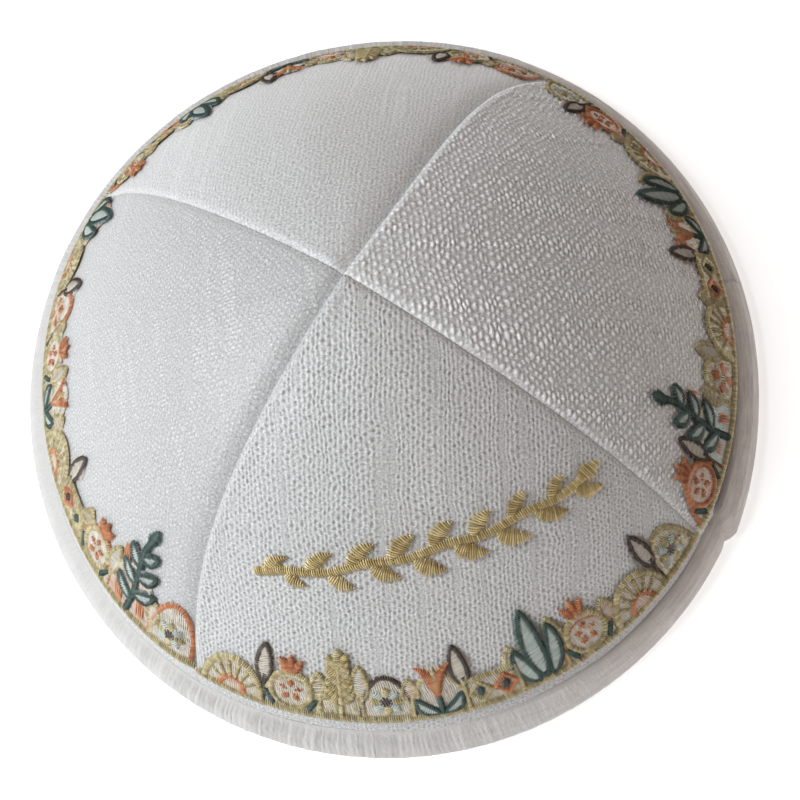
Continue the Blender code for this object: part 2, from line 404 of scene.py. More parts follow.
def storeAttribute(tree, geometry, name, value, domain="POINT"):
    sockets = {"Name": name, "Geometry": geometry}
    node = addNode(tree, "GeometryNodeStoreNamedAttribute", sockets, data_type="FLOAT", domain=domain)
    plug(tree, next(socket for socket in node.inputs if socket.enabled and socket.name == "Value"), value)
    return node.outputs[0]


def movePoints(tree, geometry, offset):
    sockets = {"Geometry": geometry, "Offset": offset}
    return addNode(tree, "GeometryNodeSetPosition", sockets).outputs[0]


def newTree(name, sizes):
    tree = bpy.data.node_groups.new(name, "GeometryNodeTree")
    tree.interface.new_socket("Geometry", in_out="INPUT", socket_type="NodeSocketGeometry")
    tree.interface.new_socket("Geometry", in_out="OUTPUT", socket_type="NodeSocketGeometry")
    for label, (kind, value) in sizes.items():
        socket = tree.interface.new_socket(label, in_out="INPUT", socket_type=kind)
        if value is not None:
            socket.default_value = value
    return tree, addNode(tree, "NodeGroupInput")


def endTree(tree, entry, geometry, smooth=False):
    # what the tree makes becomes real faces with its material
    made = addNode(tree, "GeometryNodeRealizeInstances", {0: geometry}).outputs[0]
    if smooth:
        made = addNode(tree, "GeometryNodeSetShadeSmooth", {0: made}).outputs[0]
    sockets = {"Geometry": made, "Material": entry.outputs["Material"]}
    finish = addNode(tree, "GeometryNodeSetMaterial", sockets)
    addNode(tree, "NodeGroupOutput", {"Geometry": finish.outputs[0]})
    return tree


def runTree(thing, tree, values):
    # set the inputs by identifier, evaluate, and keep the plain mesh
    modifier = thing.modifiers.new(tree.name, "NODES")
    modifier.node_group = tree
    for item in tree.interface.items_tree:
        if item.item_type == "SOCKET" and item.in_out == "INPUT" and item.name in values:
            modifier[item.identifier] = values[item.name]
    graph = bpy.context.evaluated_depsgraph_get()
    mesh = bpy.data.meshes.new_from_object(
        thing.evaluated_get(graph), preserve_all_data_layers=True, depsgraph=graph
    )
    thing.modifiers.remove(modifier)
    old = thing.data
    thing.data = mesh
    mesh.name = thing.name
    bpy.data.meshes.remove(old)


# Materials
def newMaterial(name, looks):
    # looks are set on the shader's own sockets
    material = bpy.data.materials.new(name)
    material.use_nodes = True
    shader = material.node_tree.nodes["Principled BSDF"]
    for socket, value in looks.items():
        shader.inputs[socket].default_value = value
    return material, material.node_tree, shader


def mixColours(tree, factor, first, second, blend="MIX"):
    sockets = {0: factor, 6: first, 7: second}
    return addNode(tree, "ShaderNodeMix", sockets, data_type="RGBA", blend_type=blend).outputs[2]


def shaderAttribute(tree, name):
    return addNode(tree, "ShaderNodeAttribute", attribute_name=name).outputs["Fac"]


def stretchedNoise(tree, uvName, scale, size, detail, roughness):
    place = addNode(tree, "ShaderNodeMapping", {0: readUv(tree, uvName), "Scale": scale})
    return noiseAt(tree, place.outputs[0], size, detail, roughness).outputs["Fac"]


def readUv(tree, name):
    return addNode(tree, "ShaderNodeUVMap", uv_map=name).outputs[0]


def addBump(tree, shader, height, strength, distance):
    sockets = {"Strength": strength, "Distance": distance, "Height": height}
    plug(tree, shader.inputs["Normal"], addNode(tree, "ShaderNodeBump", sockets).outputs[0])


clothLook = {
    "tint": (0.985, 0.992, 1.0, 1),
    "calmDepth": 0.66,
    "shader": {"Roughness": 0.45, "Sheen Weight": 0.12, "Sheen Roughness": 0.4},
}

weaveForm = {  # in columns and cells; pairs are for beads (net 0) and for pits (net 1)
    "driftPitch": (0.36, 0.62),  # of the slow drift: across, along
    "drift": (0.7, 0.9),
    "halfWidth": (0.32, 0.24),
    "widthSpread": (0.18, 0.09),
    "halfLength": (0.26, 0.25),
    "lengthSpread": (0.16, 0.07),
    "roundness": (1.0, 0.7),
    "aside": 0.14,  # how far a bead strays from the middle of its column
    "slubLength": 0.18,  # what a thick yarn across adds to its beads' length
    "slubSize": 0.30,  # and to their height
    "wind": 0.16,  # how far strands wind round the pits
    "slubPitch": 0.72,  # thick yarns along are wider than a column
}


def beadPattern(tree, u, v, net, seed, slubsAlong, slubsAcross):
    # height of the weave at u columns across and v cells along; the same in mesh and material
    form = weaveForm

    def between(name):
        bead, pit = form[name]
        return calc(tree, "MULTIPLY_ADD", net, pit - bead, bead)

    places = [calc(tree, "MULTIPLY", *pair) for pair in zip((u, v), form["driftPitch"])]
    shifts = split(tree, noiseAt(tree, combine(tree, *places, seed), 1.0).outputs["Color"])
    moved = []
    for value, shift, drift in zip((u, v), shifts, form["drift"]):
        moved.append(calc(tree, "ADD", value, calc(tree, "MULTIPLY_ADD", shift, drift, -drift / 2)))
    u, v = moved
    column = calc(tree, "FLOOR", u)
    fraction = calc(tree, "SUBTRACT", u, column)
    cell = calc(tree, "ADD", v, calc(tree, "MULTIPLY", calc(tree, "FLOORED_MODULO", column, 2.0), 0.5))
    number = calc(tree, "ROUND", cell)
    # every bead or pit has its own size, place and tone
    spot = {"Vector": combine(tree, column, number, seed)}
    white = addNode(tree, "ShaderNodeTexWhiteNoise", spot, noise_dimensions="3D")
    chances = split(tree, white.outputs["Color"])
    tone = white.outputs["Value"]
    acrossSlub = slubMask(tree, calc(tree, "FLOOR", v), u, calc(tree, "ADD", seed, 40.0), 0.022, slubsAcross)
    halfWidth = calc(tree, "MULTIPLY_ADD", chances[0], between("widthSpread"), between("halfWidth"))
    halfLength = calc(tree, "MULTIPLY_ADD", chances[1], between("lengthSpread"), between("halfLength"))
    halfLength = calc(tree, "ADD", halfLength, calc(tree, "MULTIPLY", acrossSlub, form["slubLength"]))
    aside = calc(tree, "MULTIPLY_ADD", chances[2], form["aside"], -0.5 - form["aside"] / 2)
    away = calc(tree, "DIVIDE", calc(tree, "ADD", fraction, aside), halfWidth)
    up = calc(tree, "DIVIDE", calc(tree, "SUBTRACT", cell, number), halfLength)
    reach = calc(tree, "ADD", calc(tree, "MULTIPLY", away, away), calc(tree, "MULTIPLY", up, up))
    oval = calc(tree, "MAXIMUM", calc(tree, "SUBTRACT", 1.0, reach), 0.0)
    oval = calc(tree, "POWER", oval, between("roundness"))
    size = calc(tree, "MULTIPLY_ADD", tone, 0.35, 0.60)
    size = calc(tree, "MULTIPLY_ADD", acrossSlub, form["slubSize"], size)
    beads = calc(tree, "MULTIPLY", oval, size)
    # strands wind round the pits
    wind = calc(tree, "COSINE", calc(tree, "MULTIPLY", v, math.tau))
    wind = calc(tree, "MULTIPLY", wind, calc(tree, "COSINE", calc(tree, "MULTIPLY", u, math.pi)))
    wound = calc(tree, "MULTIPLY_ADD", wind, form["wind"], u)
    strand = calc(tree, "ABSOLUTE", calc(tree, "COSINE", calc(tree, "MULTIPLY", wound, math.pi)))
    pits = calc(tree, "MULTIPLY_ADD", calc(tree, "POWER", strand, 4.0), 0.26, 0.62)
    pitDepth = calc(tree, "MULTIPLY_ADD", tone, 0.34, 0.28)
    pits = calc(tree, "SUBTRACT", pits, calc(tree, "MULTIPLY", oval, pitDepth))
    pile = calc(tree, "ADD", beads, calc(tree, "MULTIPLY", net, calc(tree, "SUBTRACT", pits, beads)))
    # thick slub yarns lie smooth along the columns
    wide = calc(tree, "MULTIPLY", u, form["slubPitch"])
    alongSlub = slubMask(tree, calc(tree, "FLOOR", wide), v, seed, 0.028, slubsAlong)
    edge = calc(tree, "ABSOLUTE", calc(tree, "SINE", calc(tree, "MULTIPLY", wide, math.pi)))
    alongSlub = calc(tree, "MULTIPLY", alongSlub, calc(tree, "MULTIPLY", edge, 2.2, 0.0, clamp=True))
    smoothTop = calc(tree, "MULTIPLY_ADD", edge, 0.24, 0.42)
    return calc(tree, "ADD", pile, calc(tree, "MULTIPLY", alongSlub, calc(tree, "SUBTRACT", smoothTop, pile)))


def makeClothMaterial(panel):
    look = panels[panel]
    material, tree, shader = newMaterial("whiteSlubCloth_" + panel, clothLook["shader"])
    place = split(tree, readUv(tree, "cloth"))
    pile = beadPattern(tree, place[0], place[1], look["net"], weaveSeed(panel), *look["slubs"])
    calm = clothLook["calmDepth"]  # where the relief fades, so does the painted shade in the pits
    # painted shade in the pits: the low parts of the pile take the darker low colour
    depth = calc(tree, "MULTIPLY_ADD", pile, 1.15, -0.05 - calm)
    depth = calc(tree, "MULTIPLY_ADD", depth, shaderAttribute(tree, "reliefFade"), calm, clamp=True)
    low, high = ((look[key],) * 3 + (1,) for key in ("low", "high"))
    colour = mixColours(tree, depth, low, high)
    fibres = stretchedNoise(tree, "cloth", (2.2, 1.0, 1.0), 0.5, 3.0, 0.65)
    # painted glints: fine noise brightens and darkens the colour in spots, as glints on the yarns; it also bumps the
    # surface
    paintedGlint = stretchedNoise(tree, "cloth", (1.0, 1.7, 1.0), 2.1, 1.0, 0.5)
    shade = calc(tree, "MULTIPLY_ADD", fibres, 0.30, 0.85)
    shade = calc(tree, "MULTIPLY", shade, calc(tree, "MULTIPLY_ADD", paintedGlint, 1.30, 0.35))
    grey = addNode(tree, "ShaderNodeCombineColor", {0: shade, 1: shade, 2: shade})
    colour = mixColours(tree, 1.0, colour, grey.outputs[0], "MULTIPLY")
    colour = mixColours(tree, 1.0, colour, clothLook["tint"], "MULTIPLY")
    plug(tree, shader.inputs["Base Color"], colour)
    height = calc(tree, "MULTIPLY_ADD", paintedGlint, 0.35, calc(tree, "MULTIPLY_ADD", fibres, 0.25, pile))
    addBump(tree, shader, height, 0.7, 0.12 * mm)
    return material


def makeInsideMaterial(pitch=1.1):
    # back of the same cloth, its weave in bump and in painted shade: hollows between the yarns are coloured darker
    material, tree, shader = newMaterial("clothBack", {"Roughness": 0.8, "Sheen Weight": 0.15})
    place = split(tree, readUv(tree, "cloth"))
    warp, weft = (
        calc(tree, "SINE", calc(tree, "MULTIPLY", place[axis], math.pi / pitch)) for axis in (0, 1)
    )
    height = calc(tree, "MULTIPLY_ADD", calc(tree, "MULTIPLY", warp, weft), 0.5, 0.5)
    noise = stretchedNoise(tree, "cloth", (1.0, 1.0, 1.0), 2.2, 3.0, 0.6)
    # painted shade: darker where the weave is low
    colour = mixColours(tree, height, (0.50, 0.50, 0.52, 1), (0.74, 0.74, 0.76, 1))
    colour = mixColours(tree, calc(tree, "MULTIPLY", noise, 0.25), colour, (0.55, 0.55, 0.57, 1))
    plug(tree, shader.inputs["Base Color"], colour)
    addBump(tree, shader, height, 0.6, 0.2 * mm)
    return material


def makeTapeMaterial():
    material, tree, shader = newMaterial("whiteRibbedTape", {"Roughness": 0.7, "Sheen Weight": 0.3})
    # painted shade in the rib hollows: where the rib attribute falls, between ribs, the tape is coloured dark
    rib = shaderAttribute(tree, "rib")
    depth = calc(tree, "MULTIPLY_ADD", rib, 1.1, 0.0, clamp=True)
    colour = mixColours(tree, depth, (0.32, 0.312, 0.305, 1), (0.82, 0.80, 0.785, 1))
    fibres = stretchedNoise(tree, "tape", (1.5, 0.8, 1.0), 1.1, 4.0, 0.8)
    worn = calc(tree, "MULTIPLY_ADD", fibres, 1.6, -0.5, clamp=True)
    colour = mixColours(tree, worn, colour, (0.66, 0.655, 0.66, 1))
    streaks = stretchedNoise(tree, "tape", (0.10, 1.3, 1.0), 1.2, 3.0, 0.7)
    streaks = calc(tree, "MULTIPLY_ADD", streaks, 2.2, -0.6, clamp=True)
    smooth = mixColours(tree, streaks, (0.62, 0.57, 0.545, 1), (0.95, 0.905, 0.88, 1))
    colour = mixColours(tree, shaderAttribute(tree, "pulled"), colour, smooth)
    # painted shadow: a dark line along the tape's upper edge, where it meets the cloth
    edge = calc(tree, "MULTIPLY", shaderAttribute(tree, "tapeEdgeShade"), 0.6)
    colour = mixColours(tree, edge, colour, (0.20, 0.195, 0.20, 1))
    plug(tree, shader.inputs["Base Color"], colour)
    addBump(tree, shader, fibres, 0.9, 0.35 * mm)
    return material


threads = {  # darker and lighter colour, mixed at random from stitch to stitch: a tone that differs by stitch, with the lighter colour also a painted glint; metallic, roughness
    "gold": ((0.38, 0.26, 0.08, 1), (0.90, 0.75, 0.40, 1), 0.20, 0.32),
    "oldGold": ((0.34, 0.265, 0.105, 1), (0.82, 0.72, 0.44, 1), 0.10, 0.34),
    "glitter": ((0.38, 0.30, 0.14, 1), (0.92, 0.87, 0.72, 1), 0.10, 0.32),
    "cream": ((0.64, 0.57, 0.46, 1), (0.86, 0.82, 0.74, 1), 0.0, 0.40),
    "peach": ((0.66, 0.47, 0.36, 1), (0.86, 0.74, 0.65, 1), 0.0, 0.40),
    "mint": ((0.50, 0.58, 0.54, 1), (0.74, 0.80, 0.77, 1), 0.0, 0.40),
    "orange": ((0.42, 0.115, 0.035, 1), (0.80, 0.355, 0.165, 1), 0.0, 0.36),
    "green": ((0.024, 0.054, 0.048, 1), (0.090, 0.155, 0.135, 1), 0.0, 0.32),
    "brown": ((0.050, 0.034, 0.030, 1), (0.130, 0.095, 0.080, 1), 0.0, 0.36),
}


def makeThreadMaterial(name):
    dark, light, metallic, roughness = threads[name]
    looks = {"Roughness": roughness, "Metallic": metallic, "Sheen Weight": 0.1}
    material, tree, shader = newMaterial(name + "Thread", looks)
    position = addNode(tree, "ShaderNodeTexCoord").outputs["Object"]
    fibres = noiseAt(tree, position, 900.0, 2.0).outputs["Fac"]
    factor = calc(tree, "MULTIPLY_ADD", fibres, 0.7, -0.2)
    # each stitch's random tone: partly its own colour, partly painted glint at the lighter end
    factor = calc(tree, "MULTIPLY_ADD", shaderAttribute(tree, "threadToneAndGlint"), 0.75, factor, clamp=True)
    plug(tree, shader.inputs["Base Color"], mixColours(tree, factor, dark, light))
    addBump(tree, shader, fibres, 0.4, 0.06 * mm)
    return material


# Woven faces of the panels
weave = {
    "baseLift": -0.10 * mm,
    "seamInset": 0.06 * mm,
    "edgeUp": 3.2 * mm,  # lower edge, inside the binding
    "skirt": 1.1 * mm,  # edges are turned down by this much
    "calmest": 0.70,  # share of the relief lost at the seams and below the base line
    "calmOver": 1.0 * mm,
    "seed": 7,
}

wander = {  # the yarns stray from straight lines, slowly and a little from bead to bead
    "slow": 0.36 * mm,
    "slowCell": 8 * mm,
    "quick": 0.13 * mm,
    "quickCell": 2.3 * mm,
    "uneven": 0.26 * mm,  # thick and thin yarns crowd their neighbours
    "unevenCell": 2.9 * mm,
    "unevenLength": 30 * mm,
    "fadeOver": 2.5 * mm,
}


def weaveSeed(panel):
    return weave["seed"] + list(panels).index(panel) * 11.0


def slubMask(tree, line, along, seed, stretch, rarity):
    # a few lines are thick for a stretch: each line has its own noise
    place = combine(tree, calc(tree, "MULTIPLY", line, 7.31), calc(tree, "MULTIPLY", along, stretch), seed)
    above = calc(tree, "SUBTRACT", noiseAt(tree, place, 1.0).outputs["Fac"], rarity)
    return calc(tree, "MULTIPLY", above, 16.0, clamp=True)


def weaveTree():
    tree, entry = newTree("slubWeave", {
        "Net": ("NodeSocketFloat", 1.0),
        "Relief": ("NodeSocketFloat", 0.0003),
        "Slubs Along": ("NodeSocketFloat", 0.7),
        "Slubs Across": ("NodeSocketFloat", 0.7),
        "Seed": ("NodeSocketFloat", 1.0),
        "Material": ("NodeSocketMaterial", None),
    })
    pile = beadPattern(
        tree, readAttribute(tree, "columns"), readAttribute(tree, "cells"),
        *(entry.outputs[name] for name in ("Net", "Seed", "Slubs Along", "Slubs Across"))
    )
    outward = readAttribute(tree, "outward", "FLOAT_VECTOR")
    offset = scaleVector(tree, outward, calc(tree, "MULTIPLY", pile, entry.outputs["Relief"]))
    offset = scaleVector(tree, offset, readAttribute(tree, "reliefFade"))
    return endTree(tree, entry, movePoints(tree, entry.outputs["Geometry"], offset))


def evenLines(low, high, pitch, share):
    step = pitch / share
    return np.arange(math.floor(low / step), math.ceil(high / step) + 1) * step


def clothColumns(panel, sides, lines):
    # rows of cloth points between the seams and the lower edge, one column after another
    bottomShare = float(shareUp(weave["edgeUp"]))
    samples = np.linspace(0.0, wallLength * 1.02, 4000)
    least = 0.12 * mm
    columns = []
    for side in sides:
        share, azimuth = clothToDome(panel, side, samples)
        start, end = panelSides(panel, share, weave["seamInset"])
        turned = start + (azimuth - start) % math.tau
        inside = (share <= bottomShare) & (turned >= start) & (turned <= end) & (samples > 0)
        if inside.sum() < 3:
            continue
        found = np.nonzero(inside)[0]
        first, last = samples[found[0]], samples[found[-1]]
        kept = np.nonzero((lines > first + least) & (lines < last - least))[0]
        columns.append((side, [first] + list(lines[kept]) + [last], [None] + list(kept) + [None]))
    return columns


def stitchColumns(columns):
    # faces between neighbouring columns: quads where the rows agree, triangles elsewhere
    starts = np.concatenate([[0], np.cumsum([len(column[1]) for column in columns])])
    faces = []
    for index in range(len(columns) - 1):
        leftDowns, leftRows = columns[index][1:]
        rightDowns, rightRows = columns[index + 1][1:]
        leftStart, rightStart = int(starts[index]), int(starts[index + 1])
        i = j = 0
        while i < len(leftDowns) - 1 or j < len(rightDowns) - 1:
            leftNext = leftDowns[i + 1] if i < len(leftDowns) - 1 else math.inf
            rightNext = rightDowns[j + 1] if j < len(rightDowns) - 1 else math.inf
            level = leftRows[i] == rightRows[j] and leftRows[i] is not None
            level = level and max(leftNext, rightNext) < math.inf
            if level and leftRows[i + 1] == rightRows[j + 1]:
                faces.append((leftStart + i, leftStart + i + 1, rightStart + j + 1, rightStart + j))
                i += 1
                j += 1
            elif leftNext <= rightNext:
                faces.append((leftStart + i, leftStart + i + 1, rightStart + j))
                i += 1
            else:
                faces.append((leftStart + i, rightStart + j + 1, rightStart + j))
                j += 1
    return faces


def addSkirt(thing, depth):
    # turn every open edge down into the cloth, so the face has closed sides
    shape = bmesh.new()
    shape.from_mesh(thing.data)
    outward = shape.verts.layers.float_vector["outward"]
    rim = [edge for edge in shape.edges if edge.is_boundary]
    made = bmesh.ops.extrude_edge_only(shape, edges=rim)["geom"]
    for vertex in made:
        if isinstance(vertex, bmesh.types.BMVert):
            vertex.co -= vertex[outward] * depth
    shape.to_mesh(thing.data)
    shape.free()


def strayed(side, down, fade, seed):
    # cloth places with the yarns' wandering added
    slowCell, quickCell = wander["slowCell"], wander["quickCell"]
    moved = []
    for index, place in enumerate((side, down)):
        slow = valueNoise(side / slowCell, down / slowCell, seed + index) * wander["slow"]
        quick = valueNoise(side / quickCell, down / quickCell, seed + 10 + index) * wander["quick"]
        other = down if index == 0 else side
        uneven = valueNoise(place / wander["unevenCell"], other / wander["unevenLength"], seed + 20 + index)
        moved.append(place + (slow + quick + uneven * wander["uneven"]) * fade)
    return moved


def buildWovenFace(panel, tree, material):
    look = panels[panel]
    reach = ballRadius * 1.2
    spacings = [(look["column"], look["lines"][0]), (look["cell"], look["lines"][1])]
    sideSpacing, lineSpacing = spacings if look["columnsAlongGrain"] else spacings[::-1]
    sides = evenLines(-reach, reach, *sideSpacing)
    columns = clothColumns(panel, sides, evenLines(0, wallLength * 1.05, *lineSpacing))
    side = np.concatenate([np.full(len(column[1]), column[0]) for column in columns])
    down = np.concatenate([np.asarray(column[1]) for column in columns])
    seed = weaveSeed(panel)
    share, azimuth = clothToDome(panel, side, down)
    start, end = panelSides(panel, share, weave["seamInset"])
    turned = start + (azimuth - start) % math.tau
    nearest = np.minimum(turned - start, end - turned) * radiusAt(share)
    lowEdge = (float(shareUp(weave["edgeUp"])) - share) * wallLength
    fade = np.clip(np.minimum(nearest, lowEdge) / wander["fadeOver"], 0, 1)
    share, azimuth = clothToDome(panel, *strayed(side, down, fade, int(seed)))
    points = capPoint(share, azimuth, weave["baseLift"])
    thing = makeMeshObject("wovenFace_" + panel, points, stitchColumns(columns))
    mesh = thing.data
    across, along = (side, down) if look["columnsAlongGrain"] else (down, side)
    columnsOver = across / look["column"] + 200
    cellsAlong = along / look["cell"] + 200
    storeFloats(mesh, "columns", columnsOver)
    storeFloats(mesh, "cells", cellsAlong)
    storeVectors(mesh, "outward", domeNormal(share, azimuth))
    underLine = (baseLineUp(azimuth) - upFromRim(share)) / weave["calmOver"]
    calm = np.maximum(1 - nearest / (1.2 * mm), underLine)
    storeFloats(mesh, "reliefFade", 1 - weave["calmest"] * np.clip(calm, 0, 1))
    storeUv(mesh, "cloth", np.stack([columnsOver, cellsAlong], axis=-1))
    flip = mesh.polygons[len(mesh.polygons) // 2]
    if flip.normal.dot(flip.center) < 0:
        mesh.flip_normals()
    addSkirt(thing, weave["skirt"])
    runTree(thing, tree, {
        "Net": look["net"],
        "Relief": look["relief"],
        "Slubs Along": look["slubs"][0],
        "Slubs Across": look["slubs"][1],
        "Seed": seed,
        "Material": material,
    })
    thing.data.shade_smooth()
    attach(thing, root)
    return thing


# Backing of the panels, which shows inside the cap
backing = {
    "outerLift": -0.30 * mm,
    "columns": 36,
    "rows": 30,
    "seamInset": 0.15 * mm,
    "edgeUp": 2.8 * mm,
    "crownOpening": 0.6 * mm,
    "cutAllowance": 4.5 * mm,  # turned in at each seam
}


def buildBacking(panel, material):
    top = float(np.interp(backing["crownOpening"], arcLengths, shares))
    bottom = float(shareUp(backing["edgeUp"]))
    rows = np.linspace(bottom, top, backing["rows"] + 1)
    steps = np.linspace(0, 1, backing["columns"] + 1)
    points, uvs = [], []
    layers = (backing["outerLift"], -dome["clothThickness"])
    for lift in layers:
        for step in steps:
            start, end = panelSides(panel, rows, backing["seamInset"])
            azimuth = start + (end - start) * step
            points.append(capPoint(rows, azimuth, lift, 1.0 if lift == layers[0] else 0.5))
            uvs.append(np.stack(domeToCloth(panel, rows, azimuth), axis=-1) * 1000)
    count = (backing["columns"] + 1) * (backing["rows"] + 1)
    high = backing["rows"] + 1
    outer = gridFaces(backing["columns"] + 1, high)
    faces = outer + [tuple(count + index for index in reversed(face)) for face in outer]
    edge = [column * high for column in range(backing["columns"] + 1)]  # the outline, once round
    edge += [backing["columns"] * high + row for row in range(1, high)]
    edge += [column * high + high - 1 for column in range(backing["columns"] - 1, -1, -1)]
    edge += list(range(high - 2, 0, -1))
    for index, here in enumerate(edge):
        after = edge[(index + 1) % len(edge)]
        faces.append((after, here, count + here, count + after))
    thing = makeMeshObject("panelBacking_" + panel, np.concatenate(points), faces, material)
    storeUv(thing.data, "cloth", np.concatenate(uvs))
    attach(thing, root)
    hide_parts("panel_" + panel)


# Seam allowances pressed flat inside the cap
allowance = {
    "width": 9 * mm,
    "thickness": 0.35 * mm,
    "columns": 9,
    "rows": 40,
    "bottomUp": 7 * mm,
    "topShare": 0.02,
    "gap": 0.05 * mm,  # to the cloth above
}


def buildAllowance(seam, material):
    rows = np.linspace(float(shareUp(allowance["bottomUp"])), allowance["topShare"], allowance["rows"])
    count = allowance["columns"]
    across = np.linspace(-0.5, 0.5, count)
    top = -dome["clothThickness"] - allowance["gap"]
    sag = allowance["thickness"] * (1 - 0.75 * np.abs(across * 2) ** 6)
    rings, uvs = [], []
    for row in rows:
        radius = float(radiusAt(row))
        width = min(allowance["width"], 1.2 * radius)
        azimuth = float(seamAzimuth(seam, row)) + across * width / max(radius, 0.5 * mm)
        upper, lower = (capPoint(np.full(count, row), azimuth, lift, 0.5) for lift in (top, top - sag))
        rings.append(np.concatenate([upper, lower[::-1]]))
        u = across * width / mm
        v = np.full(count, row * wallLength / mm)
        uvs.append(np.concatenate([np.stack([u, v], -1), np.stack([u[::-1], v], -1)]))
    size = 2 * count
    faces = gridFaces(len(rows), size, ringRows=True)
    faces.append(tuple(reversed(range(size))))
    faces.append(tuple((len(rows) - 1) * size + corner for corner in range(size)))
    thing = makeMeshObject("seamAllowance_" + seam, np.concatenate(rings), faces, material)
    storeUv(thing.data, "cloth", np.concatenate(uvs))
    fixNormals(thing)
    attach(thing, root)


def fixNormals(thing):
    shape = bmesh.new()
    shape.from_mesh(thing.data)
    bmesh.ops.recalc_face_normals(shape, faces=shape.faces)
    shape.to_mesh(thing.data)
    shape.free()


# The ribbed binding folded over the rim
binding = {
    "width": 7.6 * mm,
    "widen": 0.6 * mm,  # where it is pulled smooth
    "tape": 1.0 * mm,
    "foot": 3.0 * mm,  # part of the tape that lies under the rim
    "ribPitch": 1.10 * mm,
    "ribDepth": 0.26 * mm,
    "ribWobble": 0.26,  # share of a rib by which it strays on its way down
    "stepsPerRib": 4,
    "bulge": 0.18 * mm,
    "clearance": 0.25 * mm,
    "sway": 0.55 * mm,  # ribs lean to and fro by this much over the tape's width
    "crowd": 0.30 * mm,  # and stand closer or wider by this
    "lapAzimuth": math.radians(317),
    "lapLength": math.radians(26),
    "lapRise": 1.6 * mm,
    "lapEnd": math.radians(2.0),  # the end is turned under, over this much of the rim
    "lapSlant": math.radians(2.8),  # and cut at a slant
    "lapCrease": 0.40 * mm,
    "smoothMiddle": math.radians(-8),  # the tape is pulled smooth here, with a fold along it
    "smoothReach": math.radians(74),
    "smoothRibs": 0.12,  # share of the rib's height that is left there
    "calmMiddle": math.radians(-178),  # the ribs are faint here too
    "calmReach": math.radians(42),
    "fold": 0.36 * mm,
    "foldAt": 0.60,  # share of the width
}


def smoothness(azimuth):
    away = wrapAngle(azimuth - binding["smoothMiddle"]) / binding["smoothReach"]
    return np.exp(-(away**4))


def wallPoint(up, azimuth, lift):
    share = shareUp(up)
    return domePoint(share, azimuth) + domeNormal(share, azimuth) * np.asarray(lift)[..., None]


def lapRise(azimuth, high):
    # lift of the top layer; high is 0 at the rim and 1 at the tape's upper edge
    turned = (azimuth - binding["lapAzimuth"] - binding["lapSlant"] * high + math.pi / 2) % math.tau - math.pi / 2
    share = np.clip(1 - turned / binding["lapLength"], 0, 1)
    start = np.clip(turned / binding["lapEnd"], 0, 1)
    start = start * start * (3 - 2 * start)
    crease = binding["lapCrease"] * np.exp(-((turned / (binding["lapEnd"] * 0.35)) ** 2))
    return binding["lapRise"] * share**1.5 * start * (1 - 0.55 * high) - crease * (1 - 0.4 * high)


def bindingSections(azimuth):
    # rings of points round the folded tape: outside from its top down, foot, inside up again
    tape = binding["tape"]
    gap = binding["clearance"]
    outer = gap + tape
    inner = -dome["clothThickness"] - gap - tape
    lining = (-dome["clothThickness"] - gap / 2, 0.0)  # its two faces against the cloth
    width = binding["width"] + binding["widen"] * smoothness(azimuth)
    width = width + 0.15 * mm * np.sin(9 * azimuth + 0.7) + 0.10 * mm * np.sin(23 * azimuth)
    sway = valueNoise(azimuth * 9, azimuth * 0, 31) * binding["sway"] / meanRadius
    puff = binding["bulge"] * (1 + 0.5 * valueNoise(azimuth * 14, azimuth * 0, 37))
    rows = [  # share of the width, lift, rib strength
        (1.06, np.full_like(azimuth, -0.20 * mm), 0.0),
        (1.0, np.full_like(azimuth, 0.04 * mm), 0.2),
        (0.94, np.full_like(azimuth, 0.21 * mm), 0.5),
        (0.86, np.full_like(azimuth, 0.50 * mm), 0.9),
        (0.74, outer - 0.26 * mm + puff * 0.2, 1.0),
        (0.60, outer + puff * 0.8, 1.0),
        (0.46, outer + puff, 1.0),
        (0.27, outer + puff * 0.75, 1.0),
        (0.11, outer + puff * 0.1, 1.0),
    ]
    rings, relief = [], []
    for high, lift, strength in rows:
        turned = azimuth + sway * (high - 0.5)
        lift = lift + lapRise(turned, high) * min(1.0, strength * 2)
        lift = lift + binding["fold"] * smoothness(azimuth) * math.exp(-(((high - binding["foldAt"]) / 0.12) ** 2))
        rings.append(wallPoint(width * high, turned, lift))
        relief.append(strength)
    outerLow = wallPoint(0.75 * mm, azimuth - sway * 0.5, outer + lapRise(azimuth, 0.0))
    innerLow = wallPoint(2.5 * mm, azimuth, np.full_like(azimuth, inner))
    for part, strength in ((0.10, 0.8), (0.40, 0.0), (0.88, 0.0)):
        foot = outerLow * (1 - part) + innerLow * part
        foot[..., 2] = 0.35 * mm if part == 0.10 else 0.0
        rings.append(foot)
        relief.append(strength)
    for up, lift, strength in (
        (2.6 * mm, inner, 0.6),
        (5.0 * mm, inner - binding["bulge"] * 0.5, 1.0),
        (7.5 * mm, inner + tape * 0.2, 0.6),
        (7.5 * mm, lining[0], 0.0),
        (4.5 * mm, lining[0], 0.0),  # and back along the cloth, so the tape is a folded sheet
        (2.4 * mm, lining[0], 0.0),
        (1.6 * mm, sum(lining) / 2, 0.0),
        (2.4 * mm, lining[1], 0.0),
        (5.0 * mm, lining[1], 0.0),
    ):
        rings.append(wallPoint(up, azimuth, np.full_like(azimuth, lift)))
        relief.append(strength)
    return np.stack(rings, axis=1), np.array(relief)


